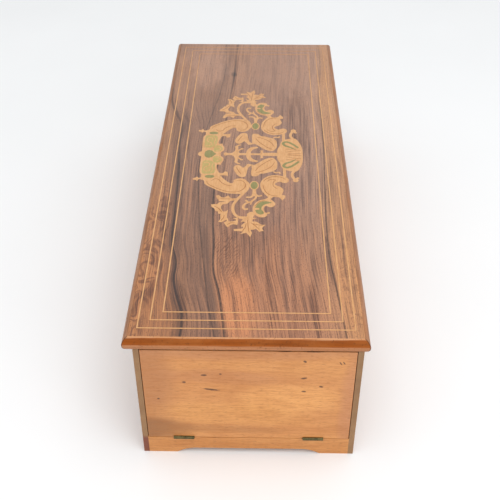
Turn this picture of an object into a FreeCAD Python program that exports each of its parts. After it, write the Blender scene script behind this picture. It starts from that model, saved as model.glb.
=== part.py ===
# Cylinder music box with key-wind movement, a veneered lid and a drop flap at the left-hand end.
#
# Frame (millimetres): +X runs along the case from the flap end to the far end, the front of the case
# looks along -Y, +Z is up.  The origin is the centre of the footprint, on the surface it stands on.
import FreeCAD, Part
import math
import os
import Sketcher

doc = FreeCAD.newDocument("CylinderMusicBox")
sheet = doc.addObject("Spreadsheet::Sheet", "Sizes")
finished = []


# ---------------------------------------------------------------- sizes that know their sheet cell

class Size:
    """A number that remembers the spreadsheet expression it was worked out from."""

    def __init__(self, number, text=None):
        self.number = float(number)
        self.text = text or "%r" % float(number)

    def __add__(self, other):
        other = as_size(other)
        return Size(self.number + other.number, "(%s + %s)" % (self.text, other.text))

    def __sub__(self, other):
        other = as_size(other)
        return Size(self.number - other.number, "(%s - %s)" % (self.text, other.text))

    def __mul__(self, other):
        other = as_size(other)
        return Size(self.number * other.number, "(%s * %s)" % (self.text, other.text))

    def __truediv__(self, other):
        other = as_size(other)
        return Size(self.number / other.number, "(%s / %s)" % (self.text, other.text))

    def __radd__(self, other):
        return as_size(other) + self

    def __rsub__(self, other):
        return as_size(other) - self

    def __rmul__(self, other):
        return as_size(other) * self

    def __neg__(self):
        return Size(-self.number, "(0 - %s)" % self.text)


def as_size(value):
    return value if isinstance(value, Size) else Size(value)


def cell(alias, value):
    """Put one driving dimension in the next row of the sheet and return it as a Size."""
    cell.row += 1
    address = "B%d" % cell.row
    sheet.set("A%d" % cell.row, alias)
    sheet.set(address, "%r" % value)
    sheet.setAlias(address, alias)
    return Size(value, "Sizes.%s" % alias)


cell.row = 0

# Case
case_length = cell("case_length", 516)
case_front = cell("case_front", -89.75)
case_back = cell("case_back", 86.25)
case_height = cell("case_height", 121)
board = cell("board_thickness", 11)
lip = cell("lip_thickness", 4.5)
foot_length = cell("foot_length", 24)
arch_slope = cell("arch_slope", 15)
arch_height = cell("arch_height", 5.3)
rail_height = cell("rail_height", 18.8)
bottom_low = cell("bottom_board_underside", 7)
bottom_thick = cell("bottom_board_thickness", 9)
partition_x = cell("partition_x", -207)
partition_thick = cell("partition_thickness", 7)
partition_height = cell("partition_top", 117)

# Lid
lid_length = cell("lid_length", 522)
lid_width = cell("lid_width", 187.3)
lid_thick = cell("lid_thickness", 12.5)
moulding_top = cell("moulding_top_inset", 4.3)
moulding_bottom = cell("moulding_bottom_inset", 3.3)
moulding_belly = cell("moulding_widest_height", 6.5)
mitre_reach = cell("mitre_cut_reach", 20)
veneer_thick = cell("veneer_thickness", 0.7)
stringing_width = cell("stringing_width", 1)
stringing_depth = cell("stringing_depth", 0.5)
stringing_gap = cell("stringing_pitch", 9.1)
stringing_side = cell("outer_stringing_half_width", 83)
stringing_end = cell("outer_stringing_half_length", 247.5)
lid_axis_out = cell("lid_hinge_axis_behind_case", 2)
lid_knuckle = cell("lid_hinge_knuckle_radius", 1.8)
lid_hinge_length = cell("lid_hinge_length", 50)
lid_hinge_place = cell("lid_hinge_distance_from_middle", 150)
leaf_thick = cell("hinge_leaf_thickness", 1)
leaf_width = cell("hinge_leaf_width", 10)
knuckle_room = cell("hinge_knuckle_clearance", 0.3)
knuckle_gap = cell("lid_knuckle_end_gap", 0.2)
lid_pin = cell("lid_hinge_pin_radius", 0.7)
lid_pin_bore = cell("lid_hinge_pin_bore_radius", 0.8)

# Flap
flap_low = cell("flap_underside", 19.3)
flap_top = cell("flap_top", 120.2)
flap_side_gap = cell("flap_side_gap", 0.6)
flap_bevel = cell("flap_bevel", 2.5)
flap_hinge_length = cell("flap_hinge_length", 17)
flap_hinge_inset = cell("flap_hinge_from_case_face", 34.5)
flap_knuckle = cell("flap_hinge_knuckle_radius", 1.4)
flap_axis_out = cell("flap_hinge_axis_outside_face", 0.4)
flap_leaf_thick = cell("flap_hinge_leaf_thickness", 0.8)
flap_leaf_width = cell("flap_hinge_leaf_width", 8)
flap_knuckle_gap = cell("flap_knuckle_end_gap", 0.15)
flap_knuckle_room = cell("flap_knuckle_clearance", 0.2)
flap_pin = cell("flap_hinge_pin_radius", 0.5)
flap_pin_bore = cell("flap_hinge_pin_bore_radius", 0.6)

# Bedplate
bed_left = cell("bedplate_left", -194)
bed_right = cell("bedplate_right", 240)
bed_front = cell("bedplate_front", -76)
bed_back = cell("bedplate_back", 72.5)
bed_top = cell("bedplate_top", 36)
bed_thick = cell("bedplate_thickness", 6)
lug_low = cell("bedplate_lug_underside", 21)
lug_size = cell("bedplate_lug_length", 14)
lug_depth = cell("bedplate_lug_depth", 16)
case_screw_left = cell("case_screw_left_x", -150)
case_screw_right = cell("case_screw_right_x", 180)
case_screw_z = cell("case_screw_height", 28)
case_screw_radius = cell("case_screw_radius", 2.5)
case_screw_head = cell("case_screw_washer_radius", 7)
case_screw_head_thick = cell("case_screw_washer_thickness", 1)
case_screw_length = cell("case_screw_length", 22)

# Wheels: tooth counts and modules
leaf_count = 12
barrel_teeth = 72
great_teeth = 96
first_teeth = 72
worm_teeth = 40
ratchet_teeth = 24
# Angle by which a ratchet tooth's steep face leans, in radians
ratchet_face_lean = 0.02
barrel_module = 1.0
great_module = 0.6
fine_module = 0.5

# Cylinder and its arbor
cyl_y = cell("cylinder_axis_y", 12)
cyl_z = cell("cylinder_axis_z", 68)
cyl_left = cell("cylinder_left", -106)
cyl_length = cell("cylinder_length", 300)
cyl_radius = cell("cylinder_radius", 26.5)
arbor_radius = cell("cylinder_arbor_radius", 3)
arbor_room = cell("arbor_clearance", 0.15)
arbor_left = cell("cylinder_arbor_left", -136)
arbor_right = cell("cylinder_arbor_right", 213)
pinion_x = cell("arbor_pinion_x", -133)
pinion_face = cell("arbor_pinion_face", 6)
great_x = cell("great_wheel_x", 197)
great_face = cell("great_wheel_face", 3)
hub_radius = cell("great_wheel_hub_radius", 10)
bridge_thick = cell("bridge_thickness", 6)
bridge_half = cell("bridge_half_width", 10)
bridge_foot = cell("bridge_foot_half_width", 16)
bridge_foot_height = cell("bridge_foot_height", 8)
cyl_bridge_left = cell("cylinder_bridge_left_x", -122)
cyl_bridge_right = cell("cylinder_bridge_right_x", 204)
snail_offset = cell("snail_offset_from_axis", 14)
snail_radius = cell("snail_radius", 9)
snail_step = cell("snail_step", 0.5)
snail_gap = cell("snail_gap_from_wheel", 0.2)
snail_stud = cell("snail_stud_radius", 1.5)
snail_stud_length = cell("snail_stud_length", 3.2)
snail_tunes = 6

# Spring barrel and winding work
barrel_y = cell("barrel_axis_y", -29.413)
barrel_z = cell("barrel_axis_z", 75)
barrel_left = cell("barrel_left", -180)
barrel_length = cell("barrel_drum_length", 48)
barrel_radius = cell("barrel_radius", 33)
barrel_wall = cell("barrel_wall", 2)
barrel_wheel_face = cell("barrel_wheel_face", 4)
barrel_core = cell("barrel_core_radius", 10)
spring_room = cell("mainspring_clearance", 0.5)
winding_radius = cell("winding_arbor_radius", 4)
winding_left = cell("winding_arbor_left", -212)
winding_square = cell("winding_square_side", 5.5)
winding_square_left = cell("winding_square_left", -236)
ratchet_x = cell("ratchet_x", -193)
ratchet_face = cell("ratchet_face", 3)
ratchet_radius = cell("ratchet_radius", 14)
ratchet_depth = cell("ratchet_tooth_depth", 2)
click_pivot_across = cell("click_pivot_in_front_of_arbor", 12)
click_pivot_up = cell("click_pivot_above_arbor", 17)
click_pivot_radius = cell("click_pivot_radius", 1.5)
click_pivot_room = cell("click_pivot_clearance", 0.1)
click_ear_width = cell("click_ear_width", 7)
click_ear_rise = cell("click_ear_above_pivot", 4)
click_stud_out = cell("click_stud_beyond_ratchet", 0.5)
click_side_gap = cell("click_side_clearance", 0.2)
click_nose_rise = cell("click_nose_above_valley", 0.5)
click_nose_depth = cell("click_nose_depth", 2.7)
click_nose_width = cell("click_nose_width", 2)
click_nose_bevel = cell("click_nose_bevel", 1.2)
click_root_out = cell("click_root_half_width", 0.7)
click_root_half = cell("click_root_half_depth", 2.25)
click_root_radius = cell("click_root_radius", 2.5)
spring_strip_thick = cell("click_spring_thickness", 0.6)
spring_strip_width = cell("click_spring_width", 1.6)
spring_strip_length = cell("click_spring_length", 15)
spring_strip_over = cell("click_spring_above_pivot", 3)
spring_strip_before = cell("click_spring_before_pivot", 5)
spring_foot_width = cell("click_spring_foot_width", 2.5)
spring_foot_height = cell("click_spring_foot_height", 1.5)
click_slack = cell("click_gap_from_tooth", 0.85)
barrel_bridge_left = cell("barrel_bridge_left_x", -188.5)
barrel_bridge_right = cell("barrel_bridge_right_x", -123)
barrel_bridge_thick = cell("barrel_bridge_thickness", 5)
barrel_bridge_half = cell("barrel_bridge_half_width", 12)
key_left = cell("key_left", -245.5)
key_neck = cell("key_neck_x", -233)
key_right = cell("key_right", -212.3)
key_radius = cell("key_socket_radius", 5.5)
key_wing = cell("key_wing_half_span", 19)
key_wing_radius = cell("key_wing_lobe_radius", 6.5)
key_thick = cell("key_wing_thickness", 3)
key_square_room = cell("key_square_clearance", 0.05)
key_hole = cell("key_wing_hole_radius", 3)

# Comb
comb_teeth = 97
# Places of the comb screws as shares of the comb's length
comb_screw_shares = (0.06, 0.5, 0.94)
comb_left = cell("comb_left", -104)
comb_pitch = cell("comb_tooth_pitch", 3.05)
comb_gap = cell("comb_tooth_gap", 0.5)
comb_tip = cell("comb_tip_y", -15.7)
comb_root = cell("comb_tooth_root_y", -60)
comb_back = cell("comb_back_y", -74)
comb_low = cell("comb_underside", 66.5)
comb_thick = cell("comb_thickness", 3)
comb_tooth_thin = cell("comb_tooth_relief", 0.75)
comb_base_front = cell("comb_base_front_y", -75)
comb_base_back = cell("comb_base_back_y", -61)
comb_screw_radius = cell("comb_screw_radius", 2)
comb_screw_head = cell("comb_screw_head_radius", 4.5)
comb_screw_y = cell("comb_screw_y", -68)
comb_screw_shank = cell("comb_screw_shank", 10)
comb_screw_room = cell("comb_screw_clearance", 0.1)
comb_base_ledge = cell("comb_base_ledge_height", 12)

# Governor
gov_first_y = cell("governor_first_axis_y", 42.4)
gov_first_z = cell("governor_first_axis_z", 56.765)
gov_second_y = cell("governor_second_axis_y", 52.9)
gov_second_z = cell("governor_second_axis_z", 74.951)
gov_worm_x = cell("endless_axis_x", 221.25)
gov_worm_y = cell("endless_axis_y", 40.7)
gov_cheek_left = cell("governor_left_cheek_x", 204.5)
gov_cheek_right = cell("governor_right_cheek_x", 228)
gov_cheek_thick = cell("governor_cheek_thickness", 2.5)
gov_cheek_front = cell("governor_cheek_front_y", 34)
gov_cheek_back = cell("governor_cheek_back_y", 64)
gov_cheek_top = cell("governor_cheek_top", 88)
gov_first_radius = cell("governor_first_arbor_radius", 1.5)
gov_second_radius = cell("governor_second_arbor_radius", 1)
gov_pivot_room = cell("governor_pivot_clearance", 0.1)
gov_wheel_x = cell("first_wheel_x", 212)
gov_wheel_face = cell("first_wheel_face", 1.5)
gov_pinion_face = cell("first_pinion_face", 4)
worm_wheel_face = cell("worm_wheel_face", 2.5)
gov_face_over = cell("pinion_beyond_wheel", 0.5)
cock_reach = cell("endless_cock_before_axis", 5.5)
cock_plate = cell("endless_cock_plate_thickness", 2.5)
collar_radius = cell("fan_collar_radius", 2.2)
worm_half_length = cell("endless_core_half_length", 6.5)
worm_end_gap = cell("endless_end_gap", 0.1)
cock_front = cell("endless_cock_front_y", 36)
cock_width = cell("endless_cock_width", 9.5)
cock_foot_low = cell("endless_cock_foot_underside", 59.6)
cock_foot_top = cell("endless_cock_foot_top", 62)
cock_arm_low = cell("endless_cock_arm_underside", 84.2)
cock_arm_top = cell("endless_cock_arm_top", 87)
fan_low = cell("fan_underside", 90)
fan_height = cell("fan_height", 16)
fan_half = cell("fan_half_width", 11)
fan_thick = cell("fan_thickness", 0.8)
worm_core = cell("endless_core_radius", 1.4)
worm_shaft = cell("endless_shaft_radius", 1.1)

# Control rods
rod_radius = cell("control_rod_radius", 2)
rod_hole_room = cell("rod_hole_clearance_in_wood", 0.3)
rod_bearing_room = cell("rod_bracket_clearance", 0.15)
rod_z = cell("control_rod_height", 44)
rod_right = cell("control_rod_right", 188)
rod_first_y = cell("first_control_rod_y", 44)
rod_pitch = cell("control_rod_pitch", 9)
rod_first_x = cell("first_handle_x", -218)
handle_pitch = cell("handle_pitch", 8)
handle_thick = cell("handle_thickness", 3)
handle_width = cell("handle_width", 6)
handle_length = cell("handle_length", 52)
handle_knob = cell("handle_knob_radius", 6)
handle_knob_thick = cell("handle_knob_thickness", 5)
handle_lean = cell("handle_lean_angle", 6)
rod_arm_length = cell("control_arm_length", 12)
rod_arm_thick = cell("control_arm_thickness", 3)
bracket_x = cell("rod_bracket_x", 150)
bracket_thick = cell("rod_bracket_thickness", 5)
bracket_top = cell("rod_bracket_top", 50)
bracket_side = cell("rod_bracket_beyond_rods", 8)
rod_arm_inset = cell("control_arm_inset", 4)
rod_arm_pitch = cell("control_arm_pitch", 6)

doc.recompute()

# Faces that several pieces share
half_length = case_length / 2
inner_front = case_front + board
inner_back = case_back - board
lid_half = lid_length / 2
lid_half_width = lid_width / 2
lid_top = case_height + lid_thick
lid_axis_y = case_back + lid_axis_out
flap_axis_x = -half_length - flap_axis_out
flap_axis_z = (rail_height + flap_low) / 2
end_front = case_front + lip
end_back = case_back - lip
# The side of a board's outline to which the arch's ends bulge
ARCH_BEND = -1


# ---------------------------------------------------------------- small building helpers

def bind(item, prop, value):
    item.setExpression(prop, as_size(value).text)


def place(item, x=0, y=0, z=0):
    bind(item, ".Placement.Base.x", x)
    bind(item, ".Placement.Base.y", y)
    bind(item, ".Placement.Base.z", z)


def keep(item, label):
    """Register a finished sub-part under its label, which also names its file."""
    item.Label = label
    finished.append(item)
    return item


def box(name, low, size):
    item = doc.addObject("Part::Box", name)
    for prop, value in zip(("Length", "Width", "Height"), size):
        bind(item, prop, value)
    place(item, *low)
    return item


TURN_TO_X = FreeCAD.Rotation(FreeCAD.Vector(0, 1, 0), 90)
TURN_TO_Y = FreeCAD.Rotation(FreeCAD.Vector(1, 0, 0), -90)


def round_bar(name, axis, low, radius, length):
    """A cylinder that starts at the point low and runs along +X, +Y or +Z."""
    item = doc.addObject("Part::Cylinder", name)
    bind(item, "Radius", radius)
    bind(item, "Height", length)
    if axis == "X":
        item.Placement = FreeCAD.Placement(FreeCAD.Vector(), TURN_TO_X)
    if axis == "Y":
        item.Placement = FreeCAD.Placement(FreeCAD.Vector(), TURN_TO_Y)
    place(item, *low)
    return item


def joined(name, items):
    item = doc.addObject("Part::MultiFuse", name)
    item.Shapes = items
    item.Refine = True
    return item


def cut(name, base, tools):
    item = doc.addObject("Part::Cut", name)
    item.Base = base
    item.Tool = tools[0] if len(tools) == 1 else joined(name + "_tools", tools)
    item.Refine = True
    return item


def origin_plane(body, role):
    return [feature for feature in body.Origin.OriginFeatures if feature.Role == role][0]


def arc_between(start, end, radius, bend):
    """The minor arc joining two points; bend +1 bulges to the right of the way from start to end.
    Sketch arcs run anticlockwise, so one that bulges to the left is drawn from its end to its start."""
    if bend < 0:
        start, end = end, start
    middle = (start + end) / 2
    along = end - start
    half = along.Length / 2
    to_centre = FreeCAD.Vector(-along.y, along.x, 0).normalize()
    centre = middle + to_centre * math.sqrt(max(radius * radius - half * half, 0.0))
    first = math.atan2(start.y - centre.y, start.x - centre.x)
    last = math.atan2(end.y - centre.y, end.x - centre.x)
    if last < first:
        last += 2 * math.pi
    return Part.ArcOfCircle(Part.Circle(centre, FreeCAD.Vector(0, 0, 1), radius), first, last)


def draw_outline(body, name, role, points):
    """A closed, fully dimensioned sketch.  A point is (u, v), or (u, v, radius, bend) where the edge
    that leaves the point is an arc."""
    sketch = body.newObject("Sketcher::SketchObject", name)
    sketch.AttachmentSupport = [(origin_plane(body, role), "")]
    sketch.MapMode = "FlatFace"
    corners = [FreeCAD.Vector(as_size(p[0]).number, as_size(p[1]).number, 0) for p in points]
    count = len(points)
    for index, point in enumerate(points):
        start = corners[index]
        end = corners[(index + 1) % count]
        if len(point) == 2:
            sketch.addGeometry(Part.LineSegment(start, end))
        else:
            sketch.addGeometry(arc_between(start, end, as_size(point[2]).number, point[3]))
    # Sketcher numbers an edge's ends 1 and 2; an arc that bulges to the left has them the other way.
    ends = [(2, 1) if len(point) > 2 and point[3] < 0 else (1, 2) for point in points]
    for index, point in enumerate(points):
        after = (index + 1) % count
        meet = Sketcher.Constraint("Coincident", index, ends[index][1], after, ends[after][0])
        sketch.addConstraint(meet)
    for index, point in enumerate(points):
        for kind, value in zip(("DistanceX", "DistanceY"), point[:2]):
            value = as_size(value)
            number = sketch.addConstraint(
                Sketcher.Constraint(kind, -1, 1, index, ends[index][0], value.number))
            sketch.setExpression("Constraints[%d]" % number, value.text)
        if len(point) > 2:
            number = sketch.addConstraint(Sketcher.Constraint("Radius", index, as_size(point[2]).number))
            sketch.setExpression("Constraints[%d]" % number, as_size(point[2]).text)
    return sketch


def padded_body(name, role, points, length, midplane=False, reverse=False):
    body = doc.addObject("PartDesign::Body", name)
    sketch = draw_outline(body, name + "_outline", role, points)
    pad = body.newObject("PartDesign::Pad", name + "_pad")
    pad.Profile = sketch
    bind(pad, "Length", length)
    pad.Midplane = midplane
    pad.Reversed = reverse
    doc.recompute()
    return body


def pocket(body, name, role, points):
    """Cut an outline right through the body, to both sides of its sketch plane."""
    sketch = draw_outline(body, name + "_outline", role, points)
    before = body.Shape.Volume
    hole = body.newObject("PartDesign::Pocket", name)
    hole.Profile = sketch
    hole.Midplane = True
    hole.Type = 1
    doc.recompute()
    if body.Shape.Volume > before - 0.01:
        raise RuntimeError("pocket %s removed nothing" % name)
    return hole


def mesh_direction(wheel, pinion):
    """Angle of the line from a wheel's axis to the axis of the pinion it drives, in the YZ plane."""
    across = as_size(pinion[0]).number - as_size(wheel[0]).number
    up = as_size(pinion[1]).number - as_size(wheel[1]).number
    return math.atan2(up, across)


def involute(angle):
    return math.tan(angle) - angle


def gear_face(teeth, module, addendum, first_tooth, bore):
    """Outline of an involute gear of 20 degrees pressure angle, in the YZ plane around the origin."""
    pressure = math.radians(20)
    pitch_radius = teeth * module / 2
    base_radius = pitch_radius * math.cos(pressure)
    tip_radius = pitch_radius + addendum * module
    root_radius = pitch_radius - 1.2 * module
    pitch_half = 0.46 * math.pi * module / 2 / pitch_radius
    radii = [root_radius, max(root_radius, base_radius), pitch_radius, tip_radius]
    flank = []
    for radius in radii:
        slope = math.acos(min(1.0, base_radius / radius))
        flank.append((radius, pitch_half + involute(pressure) - involute(slope)))
    if flank[1][0] - flank[0][0] < 1e-6:
        flank = flank[1:]
    points = []
    for tooth in range(teeth):
        middle = first_tooth + tooth * 2 * math.pi / teeth
        for side, ordered in ((-1, flank), (1, flank[::-1])):
            for radius, half in ordered:
                angle = middle + side * half
                points.append(FreeCAD.Vector(0, radius * math.cos(angle), radius * math.sin(angle)))
    wire = Part.makePolygon(points + points[:1])
    face = Part.Face(wire)
    if bore:
        hole = Part.makeCylinder(bore, 2, FreeCAD.Vector(-1, 0, 0), FreeCAD.Vector(1, 0, 0))
        face = face.cut(hole)
    return face


def gear(name, x, centre, teeth, module, face_width, addendum=0.7, first_tooth=0.0, bore=0.0):
    """A gear on an axis parallel to X; centre is its (y, z)."""
    face = gear_face(teeth, module, addendum, first_tooth, bore)
    item = doc.addObject("Part::Feature", name)
    item.Shape = face.extrude(FreeCAD.Vector(as_size(face_width).number, 0, 0))
    place(item, x, *centre)
    return item


# ---------------------------------------------------------------- case

def arch_radius():
    """Radius of the arch's rounded ends, which run smoothly into its straight top."""
    return (arch_slope * arch_slope + arch_height * arch_height) / (2 * arch_height)


def arch_points(u_low, u_high, top):
    """Outline of a board that stands on two feet: a low arch with rounded ends between them."""
    return [(u_low, 0), (u_low + foot_length, 0, arch_radius(), ARCH_BEND),
            (u_low + foot_length + arch_slope, arch_height),
            (u_high - foot_length - arch_slope, arch_height, arch_radius(), ARCH_BEND),
            (u_high - foot_length, 0), (u_high, 0), (u_high, top), (u_low, top)]


def long_board(name, outer, inner, rebate):
    """Front or back board in plan, thinned to a lip over the thickness of each end."""
    plan = [(-half_length, outer), (half_length, outer), (half_length, rebate),
            (half_length - board, rebate), (half_length - board, inner), (board - half_length, inner),
            (board - half_length, rebate), (-half_length, rebate)]
    body = padded_body(name + "_body", "XY_Plane", plan, case_height)
    arch_left = foot_length - half_length
    arch_right = half_length - foot_length
    pocket(body, name + "_arch", "XZ_Plane",
           [(arch_left, 0), (arch_right, 0, arch_radius(), -ARCH_BEND),
            (arch_right - arch_slope, arch_height),
            (arch_left + arch_slope, arch_height, arch_radius(), -ARCH_BEND)])
    return body


def case_screw_places():
    """Name, x and side of the four screws that hold the bedplate through the front and back."""
    for side in ("front", "back"):
        yield side + "_left", case_screw_left, side
        yield side + "_right", case_screw_right, side


def screw_hole(name, x, side):
    start = case_front - 1 if side == "front" else case_back - 1 - case_screw_length
    return round_bar(name, "Y", (x, start, case_screw_z), case_screw_radius, case_screw_length + 2)


def make_case():
    front = long_board("front_board", case_front, inner_front, end_front)
    keep(cut("front_board", front, [screw_hole("front_hole_left", case_screw_left, "front"),
                                    screw_hole("front_hole_right", case_screw_right, "front")]),
         "front_board")

    back = long_board("back_board", case_back, inner_back, end_back)
    tools = [screw_hole("back_hole_left", case_screw_left, "back"),
             screw_hole("back_hole_right", case_screw_right, "back")]
    for name, x in lid_hinge_places():
        tools += [piece for piece in case_leaf_pieces("recess_" + name, x, lid_hinge_length)]
    keep(cut("back_board", back, tools), "back_board")

    right = padded_body("right_end_board", "YZ_Plane", arch_points(end_front, end_back, case_height),
                        board)
    place(right, half_length - board)
    keep(right, "right_end_board")

    rail = padded_body("end_rail_body", "YZ_Plane", arch_points(end_front, end_back, rail_height), board)
    place(rail, -half_length)
    tools = []
    for name, y in flap_hinge_places():
        tools.append(knuckle_room_bar("rail_room_" + name, y))
        tools.append(rail_leaf_plate("rail_recess_" + name, y, flap_hinge_length))
    keep(cut("end_rail", rail, tools), "end_rail")

    keep(box("bottom_board", (board - half_length, inner_front, bottom_low),
             (case_length - 2 * board, inner_back - inner_front, bottom_thick)), "bottom_board")

    floor = bottom_low + bottom_thick
    wall = box("partition_wall", (partition_x, inner_front, floor),
               (partition_thick, inner_back - inner_front, partition_height - floor))
    tools = [round_bar("partition_winding_hole", "X", (partition_x - 1, barrel_y, barrel_z),
                       winding_radius + 2, partition_thick + 2)]
    for index in range(3):
        tools.append(round_bar("partition_rod_hole_%d" % index, "X",
                               (partition_x - 1, rod_first_y + index * rod_pitch, rod_z),
                               rod_radius + rod_hole_room, partition_thick + 2))
    keep(cut("partition", wall, tools), "partition")

    for name, x, side in case_screw_places():
        if side == "front":
            washer_y = case_front - case_screw_head_thick
            shank_y = case_front
        else:
            washer_y = case_back
            shank_y = case_back - case_screw_length
        washer = round_bar("screw_washer_" + name, "Y", (x, washer_y, case_screw_z), case_screw_head,
                           case_screw_head_thick)
        shank = round_bar("screw_shank_" + name, "Y", (x, shank_y, case_screw_z), case_screw_radius,
                          case_screw_length)
        keep(joined("case_screw_" + name, [washer, shank]), "case_screw_" + name)


# ---------------------------------------------------------------- hinges

def lid_hinge_places():
    return (("left", -lid_hinge_place), ("right", lid_hinge_place))


def flap_hinge_places():
    """Name and middle y of the two hinges under the flap."""
    return (("front", case_front + flap_hinge_inset), ("back", case_back - flap_hinge_inset))


def case_leaf_pieces(name, x, length):
    """The plate of a lid hinge's lower leaf, let into the top of the back board."""
    return [box(name + "_plate", (x - length / 2, case_back - leaf_width, case_height - leaf_thick),
                (length, leaf_width + lid_axis_out, leaf_thick))]


def lid_hinge_leaves(name, x):
    """Both leaves of a lid hinge; the middle knuckle belongs to the lid, the outer two and the pin
    to the case."""
    third = lid_hinge_length / 3
    start = x - lid_hinge_length / 2
    case_pieces = case_leaf_pieces("lid_hinge_case_plate_" + name, x, lid_hinge_length)
    case_pieces += [round_bar("lid_hinge_case_knuckle_%s_%d" % (name, index), "X",
                              (start + index * third * 2, lid_axis_y, case_height), lid_knuckle, third)
                    for index in range(2)]
    case_pieces.append(round_bar("lid_hinge_pin_" + name, "X", (start, lid_axis_y, case_height), lid_pin,
                                 lid_hinge_length))
    leaf = joined("lid_hinge_case_whole_" + name, case_pieces)
    room = round_bar("lid_hinge_case_room_" + name, "X", (start + third, lid_axis_y, case_height),
                     lid_knuckle + knuckle_room, third)
    pin = round_bar("lid_hinge_case_pin_" + name, "X", (start + third, lid_axis_y, case_height),
                    lid_pin, third)
    keep(joined("lid_hinge_case_" + name, [cut("lid_hinge_case_cleared_" + name, leaf, [room]), pin]),
         "lid_hinge_case_" + name)

    plate = box("lid_hinge_lid_plate_" + name, (start, case_back - leaf_width, case_height),
                (lid_hinge_length, leaf_width + lid_axis_out, leaf_thick))
    knuckle = round_bar("lid_hinge_lid_knuckle_" + name, "X",
                        (start + third + knuckle_gap, lid_axis_y, case_height), lid_knuckle,
                         third - 2 * knuckle_gap)
    whole = joined("lid_hinge_lid_whole_" + name, [plate, knuckle])
    rooms = [round_bar("lid_hinge_lid_room_%s_%d" % (name, index), "X",
                       (start - knuckle_gap + index * 2 * third, lid_axis_y, case_height),
                       lid_knuckle + knuckle_room, third + 2 * knuckle_gap) for index in range(2)]
    rooms.append(round_bar("lid_hinge_lid_bore_" + name, "X",
                           (start, lid_axis_y, case_height), lid_pin_bore,
                           lid_hinge_length))
    keep(cut("lid_hinge_lid_" + name, whole, rooms), "lid_hinge_lid_" + name)


def knuckle_room_bar(name, y):
    """The round notch that clears a flap hinge's knuckles in the wood above and below it."""
    return round_bar(name, "Y", (flap_axis_x, y - flap_hinge_length / 2 - flap_knuckle_room, flap_axis_z),
                     flap_knuckle + flap_knuckle_room, flap_hinge_length + 2 * flap_knuckle_room)


def rail_leaf_plate(name, y, length):
    return box(name, (flap_axis_x, y - length / 2, rail_height - flap_leaf_thick),
               (flap_leaf_width, length, flap_leaf_thick))


def flap_leaf_plate(name, y, length):
    return box(name, (flap_axis_x, y - length / 2, flap_low), (flap_leaf_width, length, flap_leaf_thick))


def flap_hinge_leaves(name, y):
    """Both leaves of a flap hinge; the middle knuckle belongs to the flap."""
    third = flap_hinge_length / 3
    start = y - flap_hinge_length / 2
    pieces = [rail_leaf_plate("flap_hinge_rail_plate_" + name, y, flap_hinge_length)]
    pieces += [round_bar("flap_hinge_rail_knuckle_%s_%d" % (name, index), "Y",
                         (flap_axis_x, start + index * third * 2, flap_axis_z), flap_knuckle, third)
               for index in range(2)]
    room = round_bar("flap_hinge_rail_room_" + name, "Y", (flap_axis_x, start + third, flap_axis_z),
                     flap_knuckle + flap_knuckle_room, third)
    pin = round_bar("flap_hinge_rail_pin_" + name, "Y", (flap_axis_x, start, flap_axis_z), flap_pin,
                    flap_hinge_length)
    whole = joined("flap_hinge_rail_whole_" + name, pieces)
    cleared = cut("flap_hinge_rail_cleared_" + name, whole, [room])
    keep(joined("flap_hinge_rail_" + name, [cleared, pin]), "flap_hinge_rail_" + name)

    plate = flap_leaf_plate("flap_hinge_flap_plate_" + name, y, flap_hinge_length)
    knuckle = round_bar("flap_hinge_flap_knuckle_" + name, "Y",
                        (flap_axis_x, start + third + flap_knuckle_gap, flap_axis_z), flap_knuckle,
                         third - 2 * flap_knuckle_gap)
    rooms = [round_bar("flap_hinge_flap_room_%s_%d" % (name, index), "Y",
                       (flap_axis_x, start - flap_knuckle_gap + index * 2 * third, flap_axis_z),
                        flap_knuckle + flap_knuckle_room,
                       third + 2 * flap_knuckle_gap) for index in range(2)]
    rooms.append(round_bar("flap_hinge_flap_bore_" + name, "Y", (flap_axis_x, start, flap_axis_z),
                           flap_pin_bore, flap_hinge_length))
    keep(cut("flap_hinge_flap_" + name, joined("flap_hinge_flap_whole_" + name, [plate, knuckle]), rooms),
         "flap_hinge_flap_" + name)


# ---------------------------------------------------------------- lid

def moulding_profile(out, height):
    """Section of the lid moulding: flat against the board, rounded outside.  out gives the across
    coordinate of a distance from the moulding's widest line, height that of a level."""
    belly_top = lid_thick - moulding_belly
    upper = (moulding_top * moulding_top + belly_top * belly_top) / (2 * moulding_top)
    lower = (moulding_bottom * moulding_bottom + moulding_belly * moulding_belly) / (2 * moulding_bottom)
    section = [(out(moulding_top), height(0)), (out(moulding_bottom), height(0)),
               (out(0), height(moulding_belly)), (out(moulding_top), height(lid_thick))]
    return belly_top, upper, lower, section


def moulding(name, along_x, sign):
    """One edge moulding of the lid, mitred at both ends."""
    half_span = lid_half_width if along_x else lid_half

    def out(distance):
        return sign * (half_span - distance)

    def height(level):
        return case_height + level

    belly_top, upper, lower, section = moulding_profile(out, height)
    # The two rounded faces bulge away from the lid's middle.
    bend = 1 if sign > 0 else -1
    section[1] = section[1] + (lower, bend)
    section[2] = section[2] + (upper, bend)
    if along_x:
        body = padded_body(name, "YZ_Plane", section, lid_length, midplane=True)
    else:
        body = padded_body(name, "XZ_Plane", section, lid_width, midplane=True)
    for end in (-1, 1):
        corner = (lid_half, lid_half_width)
        if along_x:
            points = [(end * corner[0], sign * corner[1]),
                      (end * (corner[0] - mitre_reach), sign * (corner[1] - mitre_reach)),
                      (end * (corner[0] + 1), sign * (corner[1] - mitre_reach)),
                      (end * (corner[0] + 1), sign * corner[1])]
        else:
            points = [(sign * corner[0], end * corner[1]),
                      (sign * (corner[0] - mitre_reach), end * (corner[1] - mitre_reach)),
                      (sign * (corner[0] - mitre_reach), end * (corner[1] + 1)),
                      (sign * corner[0], end * (corner[1] + 1))]
        side = "low" if end < 0 else "high"
        pocket(body, "%s_mitre_%s" % (name, side), "XY_Plane", points)
    return body


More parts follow.
